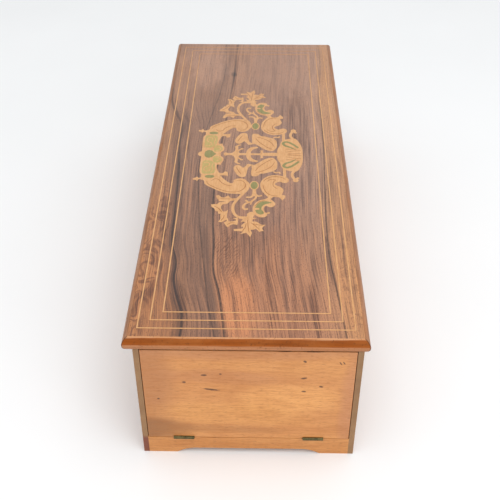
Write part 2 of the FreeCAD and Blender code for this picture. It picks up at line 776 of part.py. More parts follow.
def stringing_loop(name, index, thickness):
    """One inlaid line: a rectangular loop of the stringing's width and of the given thickness."""
    inset = index * stringing_gap
    half_x = stringing_end - inset + stringing_width / 2
    half_y = stringing_side - inset + stringing_width / 2
    low = lid_top - thickness
    outer = box(name + "_outer", (-half_x, -half_y, low), (2 * half_x, 2 * half_y, thickness))
    inner = box(name + "_inner", (stringing_width - half_x, stringing_width - half_y, low - 1),
                (2 * half_x - 2 * stringing_width, 2 * half_y - 2 * stringing_width, thickness + 2))
    return cut(name, outer, [inner])


def make_lid():
    flat_x = lid_half - moulding_top
    flat_y = lid_half_width - moulding_top
    slab = box("lid_slab", (-flat_x, -flat_y, case_height),
               (2 * flat_x, 2 * flat_y, lid_thick - veneer_thick))
    tools = []
    back_tools = []
    for name, x in lid_hinge_places():
        for group, group_name in ((tools, "board"), (back_tools, "moulding")):
            group.append(round_bar("lid_notch_%s_%s" % (group_name, name), "X",
                                   (x - lid_hinge_length / 2 - knuckle_room, lid_axis_y, case_height),
                                   lid_knuckle + knuckle_room,
                                   lid_hinge_length + 2 * knuckle_room))
        tools.append(box("lid_recess_" + name,
                         (x - lid_hinge_length / 2, case_back - leaf_width, case_height),
                         (lid_hinge_length, leaf_width + lid_axis_out, leaf_thick)))
    keep(cut("lid_board", slab, tools), "lid_board")

    sheet_of_veneer = box("veneer_sheet", (-flat_x, -flat_y, lid_top - veneer_thick),
                          (2 * flat_x, 2 * flat_y, veneer_thick))
    grooves = [stringing_loop("veneer_groove_%d" % index, index, stringing_depth) for index in range(3)]
    keep(cut("lid_veneer", sheet_of_veneer, grooves), "lid_veneer")
    for index, name in enumerate(("outer", "middle", "inner")):
        keep(stringing_loop("stringing_" + name, index, stringing_depth), "stringing_" + name)

    keep(moulding("moulding_front", True, -1), "moulding_front")
    back = moulding("moulding_back_body", True, 1)
    keep(cut("moulding_back", back, back_tools), "moulding_back")
    keep(moulding("moulding_left", False, -1), "moulding_left")
    keep(moulding("moulding_right", False, 1), "moulding_right")


# ---------------------------------------------------------------- flap

def make_flap():
    y_low = end_front + flap_side_gap
    y_high = end_back - flap_side_gap
    inner = board - half_length
    section = [(-half_length, flap_low), (inner, flap_low), (inner, flap_top - flap_bevel),
               (inner - flap_bevel, flap_top), (-half_length, flap_top)]
    body = padded_body("flap_body", "XZ_Plane", section, y_high - y_low)
    place(body, 0, y_high, 0)
    tools = []
    for name, y in flap_hinge_places():
        tools.append(knuckle_room_bar("flap_room_" + name, y))
        tools.append(flap_leaf_plate("flap_recess_" + name, y, flap_hinge_length))
    keep(cut("flap_board", body, tools), "flap_board")


# ---------------------------------------------------------------- bedplate and bridges

def make_bedplate():
    plate = box("bedplate_plate", (bed_left, bed_front, bed_top - bed_thick),
                (bed_right - bed_left, bed_back - bed_front, bed_thick))
    lugs = []
    holes = []
    for name, x, side in case_screw_places():
        y = inner_front if side == "front" else inner_back - lug_depth
        lugs.append(box("bedplate_lug_" + name, (x - lug_size / 2, y, lug_low),
                        (lug_size, lug_depth, bed_top - lug_low)))
        holes.append(screw_hole("bedplate_hole_" + name, x, side))
    keep(cut("bedplate", joined("bedplate_blank", [plate] + lugs), holes), "bedplate")


def bridge(name, x, thickness, centre_y, centre_z, half, foot, bore):
    """A cast bearing bracket: splayed foot, straight neck, round head around the bearing."""
    waist = bed_top + bridge_foot_height
    points = [(centre_y - foot, bed_top), (centre_y + foot, bed_top), (centre_y + half, waist),
              (centre_y + half, centre_z), (centre_y, centre_z + half), (centre_y - half, centre_z),
              (centre_y - half, waist)]
    points[3] = points[3] + (half, 1)
    points[4] = points[4] + (half, 1)
    body = padded_body(name + "_body", "YZ_Plane", points, thickness)
    place(body, x)
    hole = round_bar(name + "_bore", "X", (x - 1, centre_y, centre_z), bore, thickness + 2)
    return body, hole


def make_bridges():
    bore = arbor_radius + arbor_room
    for name, x in (("left", cyl_bridge_left), ("right", cyl_bridge_right)):
        body, hole = bridge("cylinder_bridge_" + name, x, bridge_thick, cyl_y, cyl_z, bridge_half,
                            bridge_foot, bore)
        keep(cut("cylinder_bridge_" + name, body, [hole]), "cylinder_bridge_" + name)

    bore = winding_radius + arbor_room
    for name, x in (("left", barrel_bridge_left), ("right", barrel_bridge_right)):
        body, hole = bridge("barrel_bridge_" + name, x, barrel_bridge_thick, barrel_y, barrel_z,
                            barrel_bridge_half, bridge_foot, bore)
        if name == "right":
            keep(cut("barrel_bridge_right", body, [hole]), "barrel_bridge_right")
        else:
            pivot_y = barrel_y - click_pivot_across
            pivot_z = barrel_z + click_pivot_up
            ear = box("click_ear", (x, pivot_y - click_ear_width / 2, barrel_z),
                      (barrel_bridge_thick, click_ear_width, click_pivot_up + click_ear_rise))
            drilled = cut("barrel_bridge_drilled", joined("barrel_bridge_eared", [body, ear]), [hole])
            stud_left = ratchet_x - click_stud_out
            stud = round_bar("click_stud", "X", (stud_left, pivot_y, pivot_z), click_pivot_radius,
                             barrel_bridge_left - stud_left + barrel_bridge_thick / 2)
            keep(joined("barrel_bridge_left", [drilled, stud]), "barrel_bridge_left")


# ---------------------------------------------------------------- cylinder, arbor and snail

def make_cylinder():
    axis = (cyl_y, cyl_z)
    barrel_axis = (barrel_y, barrel_z)
    toward_barrel = mesh_direction(barrel_axis, axis)
    pinion = gear("arbor_pinion", pinion_x, axis, leaf_count, barrel_module, pinion_face, addendum=1.0,
                  first_tooth=toward_barrel + math.pi)
    bar = round_bar("arbor_bar", "X", (arbor_left, cyl_y, cyl_z), arbor_radius, arbor_right - arbor_left)
    keep(joined("cylinder_arbor", [bar, pinion]), "cylinder_arbor")

    drum = round_bar("cylinder_drum", "X", (cyl_left, cyl_y, cyl_z), cyl_radius, cyl_length)
    bore = round_bar("cylinder_bore", "X", (cyl_left - 1, cyl_y, cyl_z), arbor_radius + arbor_room,
                     cyl_length + 2)
    keep(cut("cylinder", drum, [bore]), "cylinder")

    toward_governor = mesh_direction(axis, (gov_first_y, gov_first_z))
    wheel = gear("great_wheel_rim", great_x, axis, great_teeth, great_module, great_face,
                 first_tooth=toward_governor + math.pi / great_teeth)
    hub_left = cyl_left + cyl_length
    hub = round_bar("great_wheel_hub", "X", (hub_left, cyl_y, cyl_z), hub_radius,
                    great_x - hub_left)
    stud = round_bar("snail_stud", "X", (great_x + great_face, cyl_y, cyl_z - snail_offset),
                     snail_stud, snail_stud_length)
    hole = round_bar("great_wheel_bore", "X", (hub_left - 1, cyl_y, cyl_z), arbor_radius + arbor_room,
                     great_x - hub_left + great_face + 2)
    keep(cut("great_wheel", joined("great_wheel_blank", [wheel, hub, stud]), [hole]), "great_wheel")

    steps = []
    for tune in range(snail_tunes):
        step = round_bar("snail_step_%d" % tune, "X",
                         (great_x + great_face + snail_gap, cyl_y, cyl_z - snail_offset), snail_radius,
                         snail_step * (tune + 1) - snail_gap)
        step.Angle = 360 / snail_tunes
        turn = FreeCAD.Rotation(FreeCAD.Vector(1, 0, 0), tune * 360 / snail_tunes)
        step.Placement = FreeCAD.Placement(step.Placement.Base, turn * TURN_TO_X)
        steps.append(step)
    hole = round_bar("snail_bore", "X", (great_x + great_face, cyl_y, cyl_z - snail_offset),
                     snail_stud + arbor_room, snail_stud_length + 1)
    keep(cut("snail", joined("snail_blank", steps), [hole]), "snail")


# ---------------------------------------------------------------- spring barrel and winding work

def make_barrel():
    right = barrel_left + barrel_length
    shell = round_bar("barrel_shell", "X", (barrel_left, barrel_y, barrel_z), barrel_radius, barrel_length)
    hollow = round_bar("barrel_hollow", "X", (barrel_left + barrel_wall, barrel_y, barrel_z),
                       barrel_radius - barrel_wall, barrel_length)
    hole = round_bar("barrel_hole", "X", (barrel_left - 1, barrel_y, barrel_z),
                     winding_radius + arbor_room, 4)
    keep(cut("barrel_drum", shell, [hollow, hole]), "barrel_drum")

    toward_cylinder = mesh_direction((barrel_y, barrel_z), (cyl_y, cyl_z))
    keep(gear("barrel_wheel", right, (barrel_y, barrel_z), barrel_teeth, barrel_module, barrel_wheel_face,
              first_tooth=toward_cylinder + math.pi / barrel_teeth,
              bore=(winding_radius + arbor_room).number),
         "barrel_wheel")

    spring_left = barrel_left + barrel_wall + 1
    spring_length = barrel_length - barrel_wall - 2
    coil = round_bar("mainspring_coil", "X", (spring_left, barrel_y, barrel_z),
                     barrel_radius - barrel_wall - spring_room, spring_length)
    eye = round_bar("mainspring_eye", "X", (spring_left - 1, barrel_y, barrel_z),
                    barrel_core + spring_room, spring_length + 2)
    keep(cut("mainspring", coil, [eye]), "mainspring")


def ratchet_points():
    """Saw teeth evenly around; each has a steep face and a long sloping back."""
    outer = ratchet_radius.number
    inner = outer - ratchet_depth.number
    points = []
    for tooth in range(ratchet_teeth):
        start = math.pi / 2 + tooth * 2 * math.pi / ratchet_teeth
        points.append((outer, start))
        points.append((inner, start + ratchet_face_lean))
    return [FreeCAD.Vector(0, radius * math.cos(angle), radius * math.sin(angle))
            for radius, angle in points]


def make_winding():
    bar = round_bar("winding_bar", "X", (winding_left, barrel_y, barrel_z), winding_radius,
                    barrel_bridge_right + barrel_bridge_thick - winding_left)
    core = round_bar("winding_core", "X", (barrel_left + barrel_wall + spring_room, barrel_y, barrel_z),
                     barrel_core, barrel_length - barrel_wall - 2 * spring_room)
    square = box("winding_square", (winding_square_left, barrel_y - winding_square / 2,
                                    barrel_z - winding_square / 2),
                 (winding_left - winding_square_left, winding_square, winding_square))
    keep(joined("winding_arbor", [bar, core, square]), "winding_arbor")

    points = ratchet_points()
    face = Part.Face(Part.makePolygon(points + points[:1]))
    wheel = doc.addObject("Part::Feature", "ratchet_rim")
    wheel.Shape = face.extrude(FreeCAD.Vector(ratchet_face.number, 0, 0))
    place(wheel, ratchet_x, barrel_y, barrel_z)
    hole = round_bar("ratchet_bore", "X", (ratchet_x - 1, barrel_y, barrel_z), winding_radius,
                     ratchet_face + 2)
    keep(cut("ratchet_wheel", wheel, [hole]), "ratchet_wheel")

    # The click's nose lies in the valley in front of the tooth that stands straight up, so the tooth's
    # steep face pushes it down into the valley; the slack lets it swing clear.
    nose = ratchet_radius - ratchet_depth + click_nose_rise
    root_y = -click_pivot_across
    root_z = click_pivot_up
    section = [(-click_slack, nose), (-click_slack, nose + click_nose_depth),
               (root_y + click_root_out, root_z + click_root_half, click_root_radius, -1),
               (root_y - click_root_out, root_z - click_root_half),
               (-click_slack - click_nose_width, nose + click_nose_bevel)]
    body = padded_body("click_body", "YZ_Plane", section, ratchet_face - click_side_gap * 2)
    place(body, ratchet_x + click_side_gap, barrel_y, barrel_z)
    hole = round_bar("click_bore", "X", (ratchet_x - 1, barrel_y + root_y, barrel_z + root_z),
                     click_pivot_radius + click_pivot_room, ratchet_face + 2)
    keep(cut("click", body, [hole]), "click")

    # A flat spring on the bridge lies over the click's back.
    spring_x = ratchet_x + spring_strip_thick
    spring_y = barrel_y - click_pivot_across - spring_strip_before
    spring_z = barrel_z + click_pivot_up + spring_strip_over
    strip = box("click_spring_strip", (spring_x, spring_y, spring_z),
                (spring_strip_width, spring_strip_length, spring_strip_thick))
    foot = box("click_spring_foot", (spring_x, spring_y + spring_foot_height, spring_z - click_stud_out),
               (barrel_bridge_left - spring_x, spring_foot_width, spring_foot_height))
    keep(joined("click_spring", [strip, foot]), "click_spring")


def make_key():
    """Winding key: a round socket on the square of the arbor and a flat two-lobed bow."""
    socket = round_bar("key_socket", "X", (key_neck, barrel_y, barrel_z), key_radius, key_right - key_neck)
    lobe = key_wing_radius
    middle = (key_left + key_neck) / 2
    tip = key_wing - lobe
    half = (key_neck - key_left) / 2
    bow = padded_body("key_bow", "XZ_Plane",
                      [(middle - half, barrel_z - tip), (middle, barrel_z - key_wing),
                       (middle + half, barrel_z - tip), (key_neck + 2, barrel_z - 4),
                       (key_neck + 2, barrel_z + 4), (middle + half, barrel_z + tip),
                       (middle, barrel_z + key_wing), (middle - half, barrel_z + tip),
                       (key_left + 3, barrel_z)],
                      key_thick, midplane=True)
    place(bow, 0, barrel_y, 0)
    socket_half = winding_square / 2 + key_square_room
    square = box("key_square", (winding_square_left, barrel_y - socket_half, barrel_z - socket_half),
                 (key_right - winding_square_left + 1, 2 * socket_half, 2 * socket_half))
    holes = [round_bar("key_hole_%d" % index, "Y", (middle, barrel_y - key_thick, barrel_z + way * tip),
                       key_hole, key_thick * 2) for index, way in enumerate((-1, 1))]
    keep(cut("winding_key", joined("key_blank", [socket, bow]), [square] + holes), "winding_key")


# ---------------------------------------------------------------- comb

def comb_screw_places():
    length = comb_pitch * comb_teeth
    return [comb_left + length * share for share in comb_screw_shares]


def comb_screw_bars(name, radius, low, length):
    return [round_bar("%s_%d" % (name, index), "Z", (x, comb_screw_y, low), radius, length)
            for index, x in enumerate(comb_screw_places())]


def make_comb():
    length = comb_pitch * comb_teeth
    top = comb_low + comb_thick
    profile = [(comb_back, comb_low), (comb_root, comb_low), (comb_root + 2, comb_low + comb_tooth_thin),
               (comb_tip, comb_low + comb_tooth_thin), (comb_tip, top - comb_tooth_thin),
               (comb_root + 2, top - comb_tooth_thin), (comb_root, top), (comb_back, top)]
    plate = padded_body("comb_plate", "YZ_Plane", profile, length)
    place(plate, comb_left)
    slots = doc.addObject("Part::Feature", "comb_slots")
    slot = Part.makeBox(comb_gap.number, (comb_tip - comb_root).number + 2, comb_thick.number + 2,
                        FreeCAD.Vector(-comb_gap.number / 2, 0, 0))
    slots.Shape = Part.makeCompound([slot.translated(FreeCAD.Vector(index * comb_pitch.number, 0, 0))
                                     for index in range(1, comb_teeth)])
    place(slots, comb_left, comb_root + 1, comb_low - 1)
    hole_radius = comb_screw_radius + comb_screw_room
    holes = comb_screw_bars("comb_hole", hole_radius, comb_low - 1, comb_thick + 2)
    keep(cut("comb", cut("comb_blank", plate, [slots]), holes), "comb")

    profile = [(comb_base_front, bed_top), (comb_root + 6, bed_top), (comb_root + 6, bed_top + 5),
               (comb_base_back, bed_top + comb_base_ledge), (comb_base_back, comb_low),
               (comb_base_front, comb_low)]
    base = padded_body("comb_base_body", "YZ_Plane", profile, length)
    place(base, comb_left)
    holes = comb_screw_bars("comb_base_hole", hole_radius, comb_low - comb_screw_shank,
                            comb_screw_shank + 1)
    keep(cut("comb_base", base, holes), "comb_base")

    for index, x in enumerate(comb_screw_places()):
        head = round_bar("comb_screw_head_%d" % index, "Z", (x, comb_screw_y, top), comb_screw_head, 3)
        bar_low = comb_low - comb_screw_shank + 0.5
        bar = round_bar("comb_screw_bar_%d" % index, "Z", (x, comb_screw_y, bar_low),
                        comb_screw_radius, comb_thick + comb_screw_shank)
        label = "comb_screw_" + ("left", "middle", "right")[index]
        keep(joined(label, [head, bar]), label)


# ---------------------------------------------------------------- governor

def make_governor():
    first_axis = (gov_first_y, gov_first_z)
    second_axis = (gov_second_y, gov_second_z)
    toward_cylinder = mesh_direction(first_axis, (cyl_y, cyl_z))
    toward_second = mesh_direction(first_axis, second_axis)

    room = gov_pivot_room
    for name, x in (("left", gov_cheek_left), ("right", gov_cheek_right)):
        plate = box("cheek_plate_" + name, (x, gov_cheek_front, bed_top),
                    (gov_cheek_thick, gov_cheek_back - gov_cheek_front, gov_cheek_top - bed_top))
        holes = [round_bar("cheek_first_" + name, "X", (x - 1, gov_first_y, gov_first_z),
                           gov_first_radius + room, gov_cheek_thick + 2),
                 round_bar("cheek_second_" + name, "X", (x - 1, gov_second_y, gov_second_z),
                           gov_second_radius + room, gov_cheek_thick + 2)]
        keep(cut("governor_cheek_" + name, plate, holes), "governor_cheek_" + name)

    span = gov_cheek_right + gov_cheek_thick
    first_left = great_x - gov_face_over
    keep(joined("governor_first", [
        round_bar("first_arbor", "X", (first_left, gov_first_y, gov_first_z), gov_first_radius,
                  span - first_left),
        gear("first_pinion", first_left, first_axis, leaf_count, great_module, gov_pinion_face,
             addendum=1.0, first_tooth=toward_cylinder),
        gear("first_wheel", gov_wheel_x, first_axis, first_teeth, fine_module, gov_wheel_face,
             first_tooth=toward_second + math.pi / first_teeth)]), "governor_first")

    keep(joined("governor_second", [
        round_bar("second_arbor", "X", (gov_cheek_left, gov_second_y, gov_second_z), gov_second_radius,
                  span - gov_cheek_left),
        gear("second_pinion", gov_wheel_x - gov_face_over, second_axis, leaf_count, fine_module,
             worm_wheel_face, addendum=1.0, first_tooth=toward_second + math.pi),
        gear("worm_wheel", gov_worm_x - worm_wheel_face / 2, second_axis, worm_teeth, fine_module,
             worm_wheel_face)]), "governor_second")

    cock_x = gov_worm_x - cock_reach
    cock_length = gov_cheek_right - cock_x
    back_plate = box("cock_back", (gov_cheek_right - cock_plate, cock_front, cock_foot_low),
                     (cock_plate, cock_width, cock_arm_top - cock_foot_low))
    foot = box("cock_foot", (cock_x, cock_front, cock_foot_low),
               (cock_length, cock_width, cock_foot_top - cock_foot_low))
    arm = box("cock_arm", (cock_x, cock_front, cock_arm_low),
              (cock_length, cock_width, cock_arm_top - cock_arm_low))
    hole = round_bar("cock_bore", "Z", (gov_worm_x, gov_worm_y, cock_arm_low - 1), worm_shaft + room, 6)
    keep(cut("endless_cock", joined("cock_blank", [back_plate, foot, arm]), [hole]), "endless_cock")

    shaft_low = cock_foot_top + worm_end_gap
    vane = box("fan_vane", (gov_worm_x - fan_half, gov_worm_y - fan_thick / 2, fan_low),
               (2 * fan_half, fan_thick, fan_height))
    keep(joined("endless", [
        round_bar("endless_shaft", "Z", (gov_worm_x, gov_worm_y, shaft_low), worm_shaft,
                  fan_low + fan_height + 1 - shaft_low),
        round_bar("endless_core", "Z", (gov_worm_x, gov_worm_y, gov_second_z - worm_half_length),
                  worm_core, 2 * worm_half_length),
        round_bar("endless_collar", "Z", (gov_worm_x, gov_worm_y, fan_low - 2), collar_radius,
                  fan_height / 2),
        vane]), "endless")


# ---------------------------------------------------------------- control rods

def make_controls():
    """Three rods side by side behind the cylinder, each with an upright handle in the left-hand
    compartment and a short arm near the governor."""
    names = ("start_stop", "change_repeat", "instant_stop")
    for index, name in enumerate(names):
        y = rod_first_y + index * rod_pitch
        x = rod_first_x - index * handle_pitch
        rod = round_bar(name + "_rod", "X", (x, y, rod_z), rod_radius, rod_right - x)
        stem = box(name + "_stem", (0, 0, 0), (handle_thick, handle_width, handle_length))
        knob = round_bar(name + "_knob", "X", ((handle_thick - handle_knob_thick) / 2,
                                               handle_width / 2, handle_length), handle_knob,
                         handle_knob_thick)
        handle = joined(name + "_handle", [stem, knob])
        handle.Placement = FreeCAD.Placement(
            FreeCAD.Vector(), FreeCAD.Rotation(FreeCAD.Vector(1, 0, 0), -handle_lean.number))
        place(handle, x, y - handle_width / 2, rod_z)
        arm_x = rod_right - rod_arm_inset - index * rod_arm_pitch
        arm = box(name + "_arm", (arm_x, y - rod_arm_thick / 2, rod_z),
                  (rod_arm_thick, rod_arm_thick, rod_arm_length))
        keep(joined(name + "_lever", [rod, handle, arm]), name + "_lever")

    wide = rod_pitch * 2 + bracket_side * 2
    plate = box("rod_bracket_plate", (bracket_x, rod_first_y - bracket_side, bed_top),
                (bracket_thick, wide, bracket_top - bed_top))
    holes = [round_bar("rod_bracket_hole_%d" % index, "X",
                       (bracket_x - 1, rod_first_y + index * rod_pitch, rod_z),
                       rod_radius + rod_bearing_room, bracket_thick + 2) for index in range(3)]
    keep(cut("rod_bracket", plate, holes), "rod_bracket")


# ---------------------------------------------------------------- build, check and write

def check_document():
    for item in doc.Objects:
        if "Invalid" in item.State or "Error" in item.State:
            raise RuntimeError("%s did not compute: %s" % (item.Label, item.State))


def write_parts():
    os.makedirs("parts", exist_ok=True)
    for item in finished:
        shape = item.Shape
        if shape.isNull() or not shape.isValid():
            raise RuntimeError("%s has a bad shape" % item.Label)
        if len(shape.Solids) != 1:
            raise RuntimeError("%s has %d solids" % (item.Label, len(shape.Solids)))
        shape.exportStep("parts/%s.step" % item.Label)
    print("wrote %d sub-parts" % len(finished))


make_case()
for hinge_name, hinge_x in lid_hinge_places():
    lid_hinge_leaves(hinge_name, hinge_x)
for hinge_name, hinge_y in flap_hinge_places():
    flap_hinge_leaves(hinge_name, hinge_y)
make_lid()
make_flap()
make_bedplate()
make_bridges()
make_cylinder()
make_barrel()
make_winding()
make_key()
make_comb()
make_governor()
make_controls()
doc.recompute()
check_document()
write_parts()
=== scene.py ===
"""Looks of the key-wind cylinder music box, built round its CAD frame.

Lengths in this script are millimetres of the row frame unless a name says otherwise: X runs along the
box from the end with the drop flap, Y from the front to the back, Z up from the table."""

import math

import bmesh
import bpy
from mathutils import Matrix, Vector


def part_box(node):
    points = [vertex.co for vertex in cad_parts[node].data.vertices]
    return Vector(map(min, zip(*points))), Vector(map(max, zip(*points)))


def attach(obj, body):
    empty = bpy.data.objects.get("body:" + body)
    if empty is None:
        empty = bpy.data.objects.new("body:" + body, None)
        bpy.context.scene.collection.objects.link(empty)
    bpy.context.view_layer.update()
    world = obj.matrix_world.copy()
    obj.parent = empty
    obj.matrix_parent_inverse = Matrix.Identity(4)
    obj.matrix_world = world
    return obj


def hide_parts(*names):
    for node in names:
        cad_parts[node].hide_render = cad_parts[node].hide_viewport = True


MM = 0.001

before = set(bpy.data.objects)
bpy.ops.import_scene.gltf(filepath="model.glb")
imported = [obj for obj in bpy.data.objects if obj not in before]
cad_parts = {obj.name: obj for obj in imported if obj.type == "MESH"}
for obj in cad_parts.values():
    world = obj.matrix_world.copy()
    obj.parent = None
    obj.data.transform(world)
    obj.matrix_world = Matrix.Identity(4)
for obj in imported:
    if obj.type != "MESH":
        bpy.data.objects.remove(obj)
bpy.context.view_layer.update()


def cad(node):
    """Lowest and highest corner of a CAD node, in millimetres."""
    low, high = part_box(node)
    return low / MM, high / MM


VENEER_LOW, VENEER_HIGH = cad("lid_veneer")
LID_LOW = cad("moulding_front")[0]
FLAP_LOW = cad("flap_board")[0]
RAIL_HIGH = cad("end_rail")[1]
CASE_END = cad("front_board")[1].x
CYLINDER_LOW, CYLINDER_HIGH = cad("cylinder")
COMB_LOW, COMB_HIGH = cad("comb")
SHEET_TOP = VENEER_HIGH.z - 0.1          # the sawn veneer; the inlay stands a hair above it
INLAY_LOW = VENEER_HIGH.z - 0.3


# ---------------------------------------------------------------- meshes

def mesh_piece(name, mesh, body, material):
    """A finished mesh, in millimetres, as an object that rides on a CAD body."""
    data = bpy.data.meshes.new(name)
    for vertex in mesh.verts:
        vertex.co *= MM
    bmesh.ops.recalc_face_normals(mesh, faces=mesh.faces)
    mesh.to_mesh(data)
    mesh.free()
    piece = bpy.data.objects.new(name, data)
    bpy.context.scene.collection.objects.link(piece)
    data.materials.append(material)
    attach(piece, body)
    return piece


def smooth_line(points, closed, steps=6):
    """Points on a smooth curve through the control points (a, b) or (a, b, "tip"); the curve turns
    sharply at a tip."""
    count = len(points)
    flat = [Vector(point[:2]) for point in points]
    tips = [len(point) > 2 for point in points]

    def tangent(index, chord):
        if tips[index] or (not closed and index in (0, count - 1)):
            return chord
        return (flat[(index + 1) % count] - flat[index - 1]) / 2

    line = []
    for index in range(count if closed else count - 1):
        after = (index + 1) % count
        chord = flat[after] - flat[index]
        start, end = tangent(index, chord), tangent(after, chord)
        for step in range(steps):
            t = step / steps
            line.append(flat[index] * (2 * t**3 - 3 * t**2 + 1) + start * (t**3 - 2 * t**2 + t)
                        + flat[after] * (3 * t**2 - 2 * t**3) + end * (t**3 - t**2))
    if not closed:
        line.append(flat[-1])
    return line


def ribbon_outline(points, width, start_width, end_width):
    """Outline of a stroke that follows the control points, widest in its middle."""
    line = smooth_line(points, closed=False)
    left, right = [], []
    for index, point in enumerate(line):
        ahead = line[min(index + 1, len(line) - 1)] - line[max(index - 1, 0)]
        normal = Vector((-ahead.y, ahead.x)).normalized()
        share = index / (len(line) - 1)
        swell = math.sin(math.pi * share) ** 0.5
        end = start_width + (end_width - start_width) * share
        half = (end + (width - end) * swell) / 2
        left.append(point + normal * half)
        right.append(point - normal * half)
    return left + right[::-1]


def add_plate(mesh, outline, low, high):
    """A flat plate between two heights, from an outline of (x, y)."""
    loops = [[mesh.verts.new((point[0], point[1], z)) for point in outline] for z in (low, high)]
    for index in range(len(outline)):
        after = (index + 1) % len(outline)
        mesh.faces.new((loops[0][index], loops[0][after], loops[1][after], loops[1][index]))
    ends = [mesh.faces.new(loops[0][::-1]), mesh.faces.new(loops[1])]
    for end in ends:
        end.normal_update()
    bmesh.ops.triangulate(mesh, faces=ends, ngon_method="EAR_CLIP")


def disc(across, along, across_half, along_half, steps=28):
    return [(across + across_half * math.cos(2 * math.pi * step / steps),
             along + along_half * math.sin(2 * math.pi * step / steps)) for step in range(steps)]


# ---------------------------------------------------------------- node graphs

class Graph:
    """A material's nodes. Vectors come from object coordinates, scaled to millimetres."""

    def __init__(self, name):
        self.material = bpy.data.materials.new(name)
        self.material.use_nodes = True
        self.nodes = self.material.node_tree.nodes
        self.links = self.material.node_tree.links
        self.shader = self.nodes["Principled BSDF"]
        place = self.node("ShaderNodeTexCoord").outputs["Object"]
        self.place = self.vector("MULTIPLY", place, (1 / MM,) * 3)
        axes = self.node("ShaderNodeSeparateXYZ", Vector=self.place)
        self.x, self.y, self.z = axes.outputs

    def node(self, kind, settings=None, **inputs):
        made = self.nodes.new(kind)
        for key, value in (settings or {}).items():
            setattr(made, key, value)
        for key, value in inputs.items():
            self.put(made.inputs[key.replace("_", " ")], value)
        return made

    def put(self, socket, value):
        if isinstance(value, bpy.types.NodeSocket):
            self.links.new(value, socket)
        elif socket.type == "RGBA" and len(value) == 3:
            socket.default_value = (*value, 1)
        else:
            socket.default_value = value

    def math(self, operation, first, second=0.0, clamp=False):
        made = self.node("ShaderNodeMath", {"operation": operation, "use_clamp": clamp})
        self.put(made.inputs[0], first)
        self.put(made.inputs[1], second)
        return made.outputs[0]

    def times(self, first, second):
        return self.math("MULTIPLY", first, second)

    def plus(self, first, second):
        return self.math("ADD", first, second)

    def minus(self, first, second):
        return self.math("SUBTRACT", first, second)

    def vector(self, operation, first, second):
        made = self.node("ShaderNodeVectorMath", {"operation": operation})
        self.put(made.inputs[0], first)
        self.put(made.inputs[1], second)
        return made.outputs[0]

    def combine(self, x, y, z=0.0):
        return self.node("ShaderNodeCombineXYZ", X=x, Y=y, Z=z).outputs[0]

    def span(self, value, start, end, low=0.0, high=1.0, smooth=False):
        kind = "SMOOTHSTEP" if smooth else "LINEAR"
        made = self.node("ShaderNodeMapRange", {"interpolation_type": kind}, Value=value)
        for key, number in (("From Min", start), ("From Max", end), ("To Min", low), ("To Max", high)):
            self.put(made.inputs[key], number)
        return made.outputs[0]

    def noise(self, vector, scale=1.0, detail=2.0, roughness=0.5, distortion=0.0):
        made = self.node("ShaderNodeTexNoise", Vector=vector, Scale=scale, Detail=detail,
                         Roughness=roughness, Distortion=distortion)
        return made.outputs["Fac"]

    def stretched(self, scales, **settings):
        """Noise whose cells are 1/scale millimetres along each axis."""
        return self.noise(self.vector("MULTIPLY", self.place, scales), **settings)

    def ramp(self, value, stops, smooth=False):
        """stops is a list of (place, colour)."""
        made = self.node("ShaderNodeValToRGB", Fac=value)
        made.color_ramp.interpolation = "EASE" if smooth else "LINEAR"
        elements = made.color_ramp.elements
        while len(elements) < len(stops):
            elements.new(0.5)
        for element, (place, colour) in zip(elements, stops):
            element.position = place
            element.color = (*colour, 1)
        return made.outputs["Color"]

    def mix(self, share, first, second, blend="MIX"):
        made = self.node("ShaderNodeMix", {"data_type": "RGBA", "blend_type": blend})
        self.put(made.inputs[0], share)
        self.put(made.inputs[6], first)
        self.put(made.inputs[7], second)
        return made.outputs[2]

    def curve(self, value, start, end, low, high, points):
        """A line through control points, for value between start and end, reaching low to high."""
        made = self.node("ShaderNodeFloatCurve", Value=self.span(value, start, end))
        line = made.mapping.curves[0]
        ordered = sorted(points)
        shares = [((x - start) / (end - start), (y - low) / (high - low)) for x, y in ordered]
        line.points[0].location = shares[0]
        line.points[1].location = shares[-1]
        for share in shares[1:-1]:
            line.points.new(*share)
        made.mapping.update()
        return self.span(made.outputs[0], 0, 1, low, high)

    def spot(self, centre, halves, turn, first, second, wobble, edge=0.5):
        """1 inside an ellipse of the two coordinates first and second, fading to 0 at its rim."""
        a = self.minus(first, centre[0])
        b = self.minus(second, centre[1])
        cos, sin = math.cos(math.radians(turn)), math.sin(math.radians(turn))
        along = self.plus(self.times(a, cos), self.times(b, sin))
        across = self.minus(self.times(b, cos), self.times(a, sin))
        far = self.plus(self.math("POWER", self.math("DIVIDE", along, halves[0]), 2),
                        self.math("POWER", self.math("DIVIDE", across, halves[1]), 2))
        far = self.plus(far, wobble)
        return self.span(far, 1 + edge, 1 - edge, smooth=True)

    def finish(self, colour, roughness=None, height=None, bump=0.2, depth=0.1, **values):
        """Join the results to the shader. depth is the bump's height in millimetres."""
        self.put(self.shader.inputs["Base Color"], colour)
        if roughness is not None:
            self.put(self.shader.inputs["Roughness"], roughness)
        if height is not None:
            made = self.node("ShaderNodeBump", Strength=bump, Distance=depth * MM, Height=height)
            self.put(self.shader.inputs["Normal"], made.outputs[0])
        for key, value in values.items():
            self.put(self.shader.inputs[key.replace("_", " ")], value)
        return self.material


def rgb(red, green, blue):
    """A display colour, 0 to 255, as linear light."""
    return tuple((c / 12.92 if c <= 0.04045 else ((c + 0.055) / 1.055) ** 2.4)
                 for c in (red / 255, green / 255, blue / 255))


def bare(red, green, blue, glare=0.063, light=1.1):
    """The wood's own colour: its display colour less the room's glare on its polish."""
    return tuple(max((channel - glare) / light, 0.002) for channel in rgb(red, green, blue))


def hazy(red, green, blue):
    """The same for the far half of the lid, where the glare is stronger."""
    return bare(red, green, blue, glare=0.1, light=0.98)


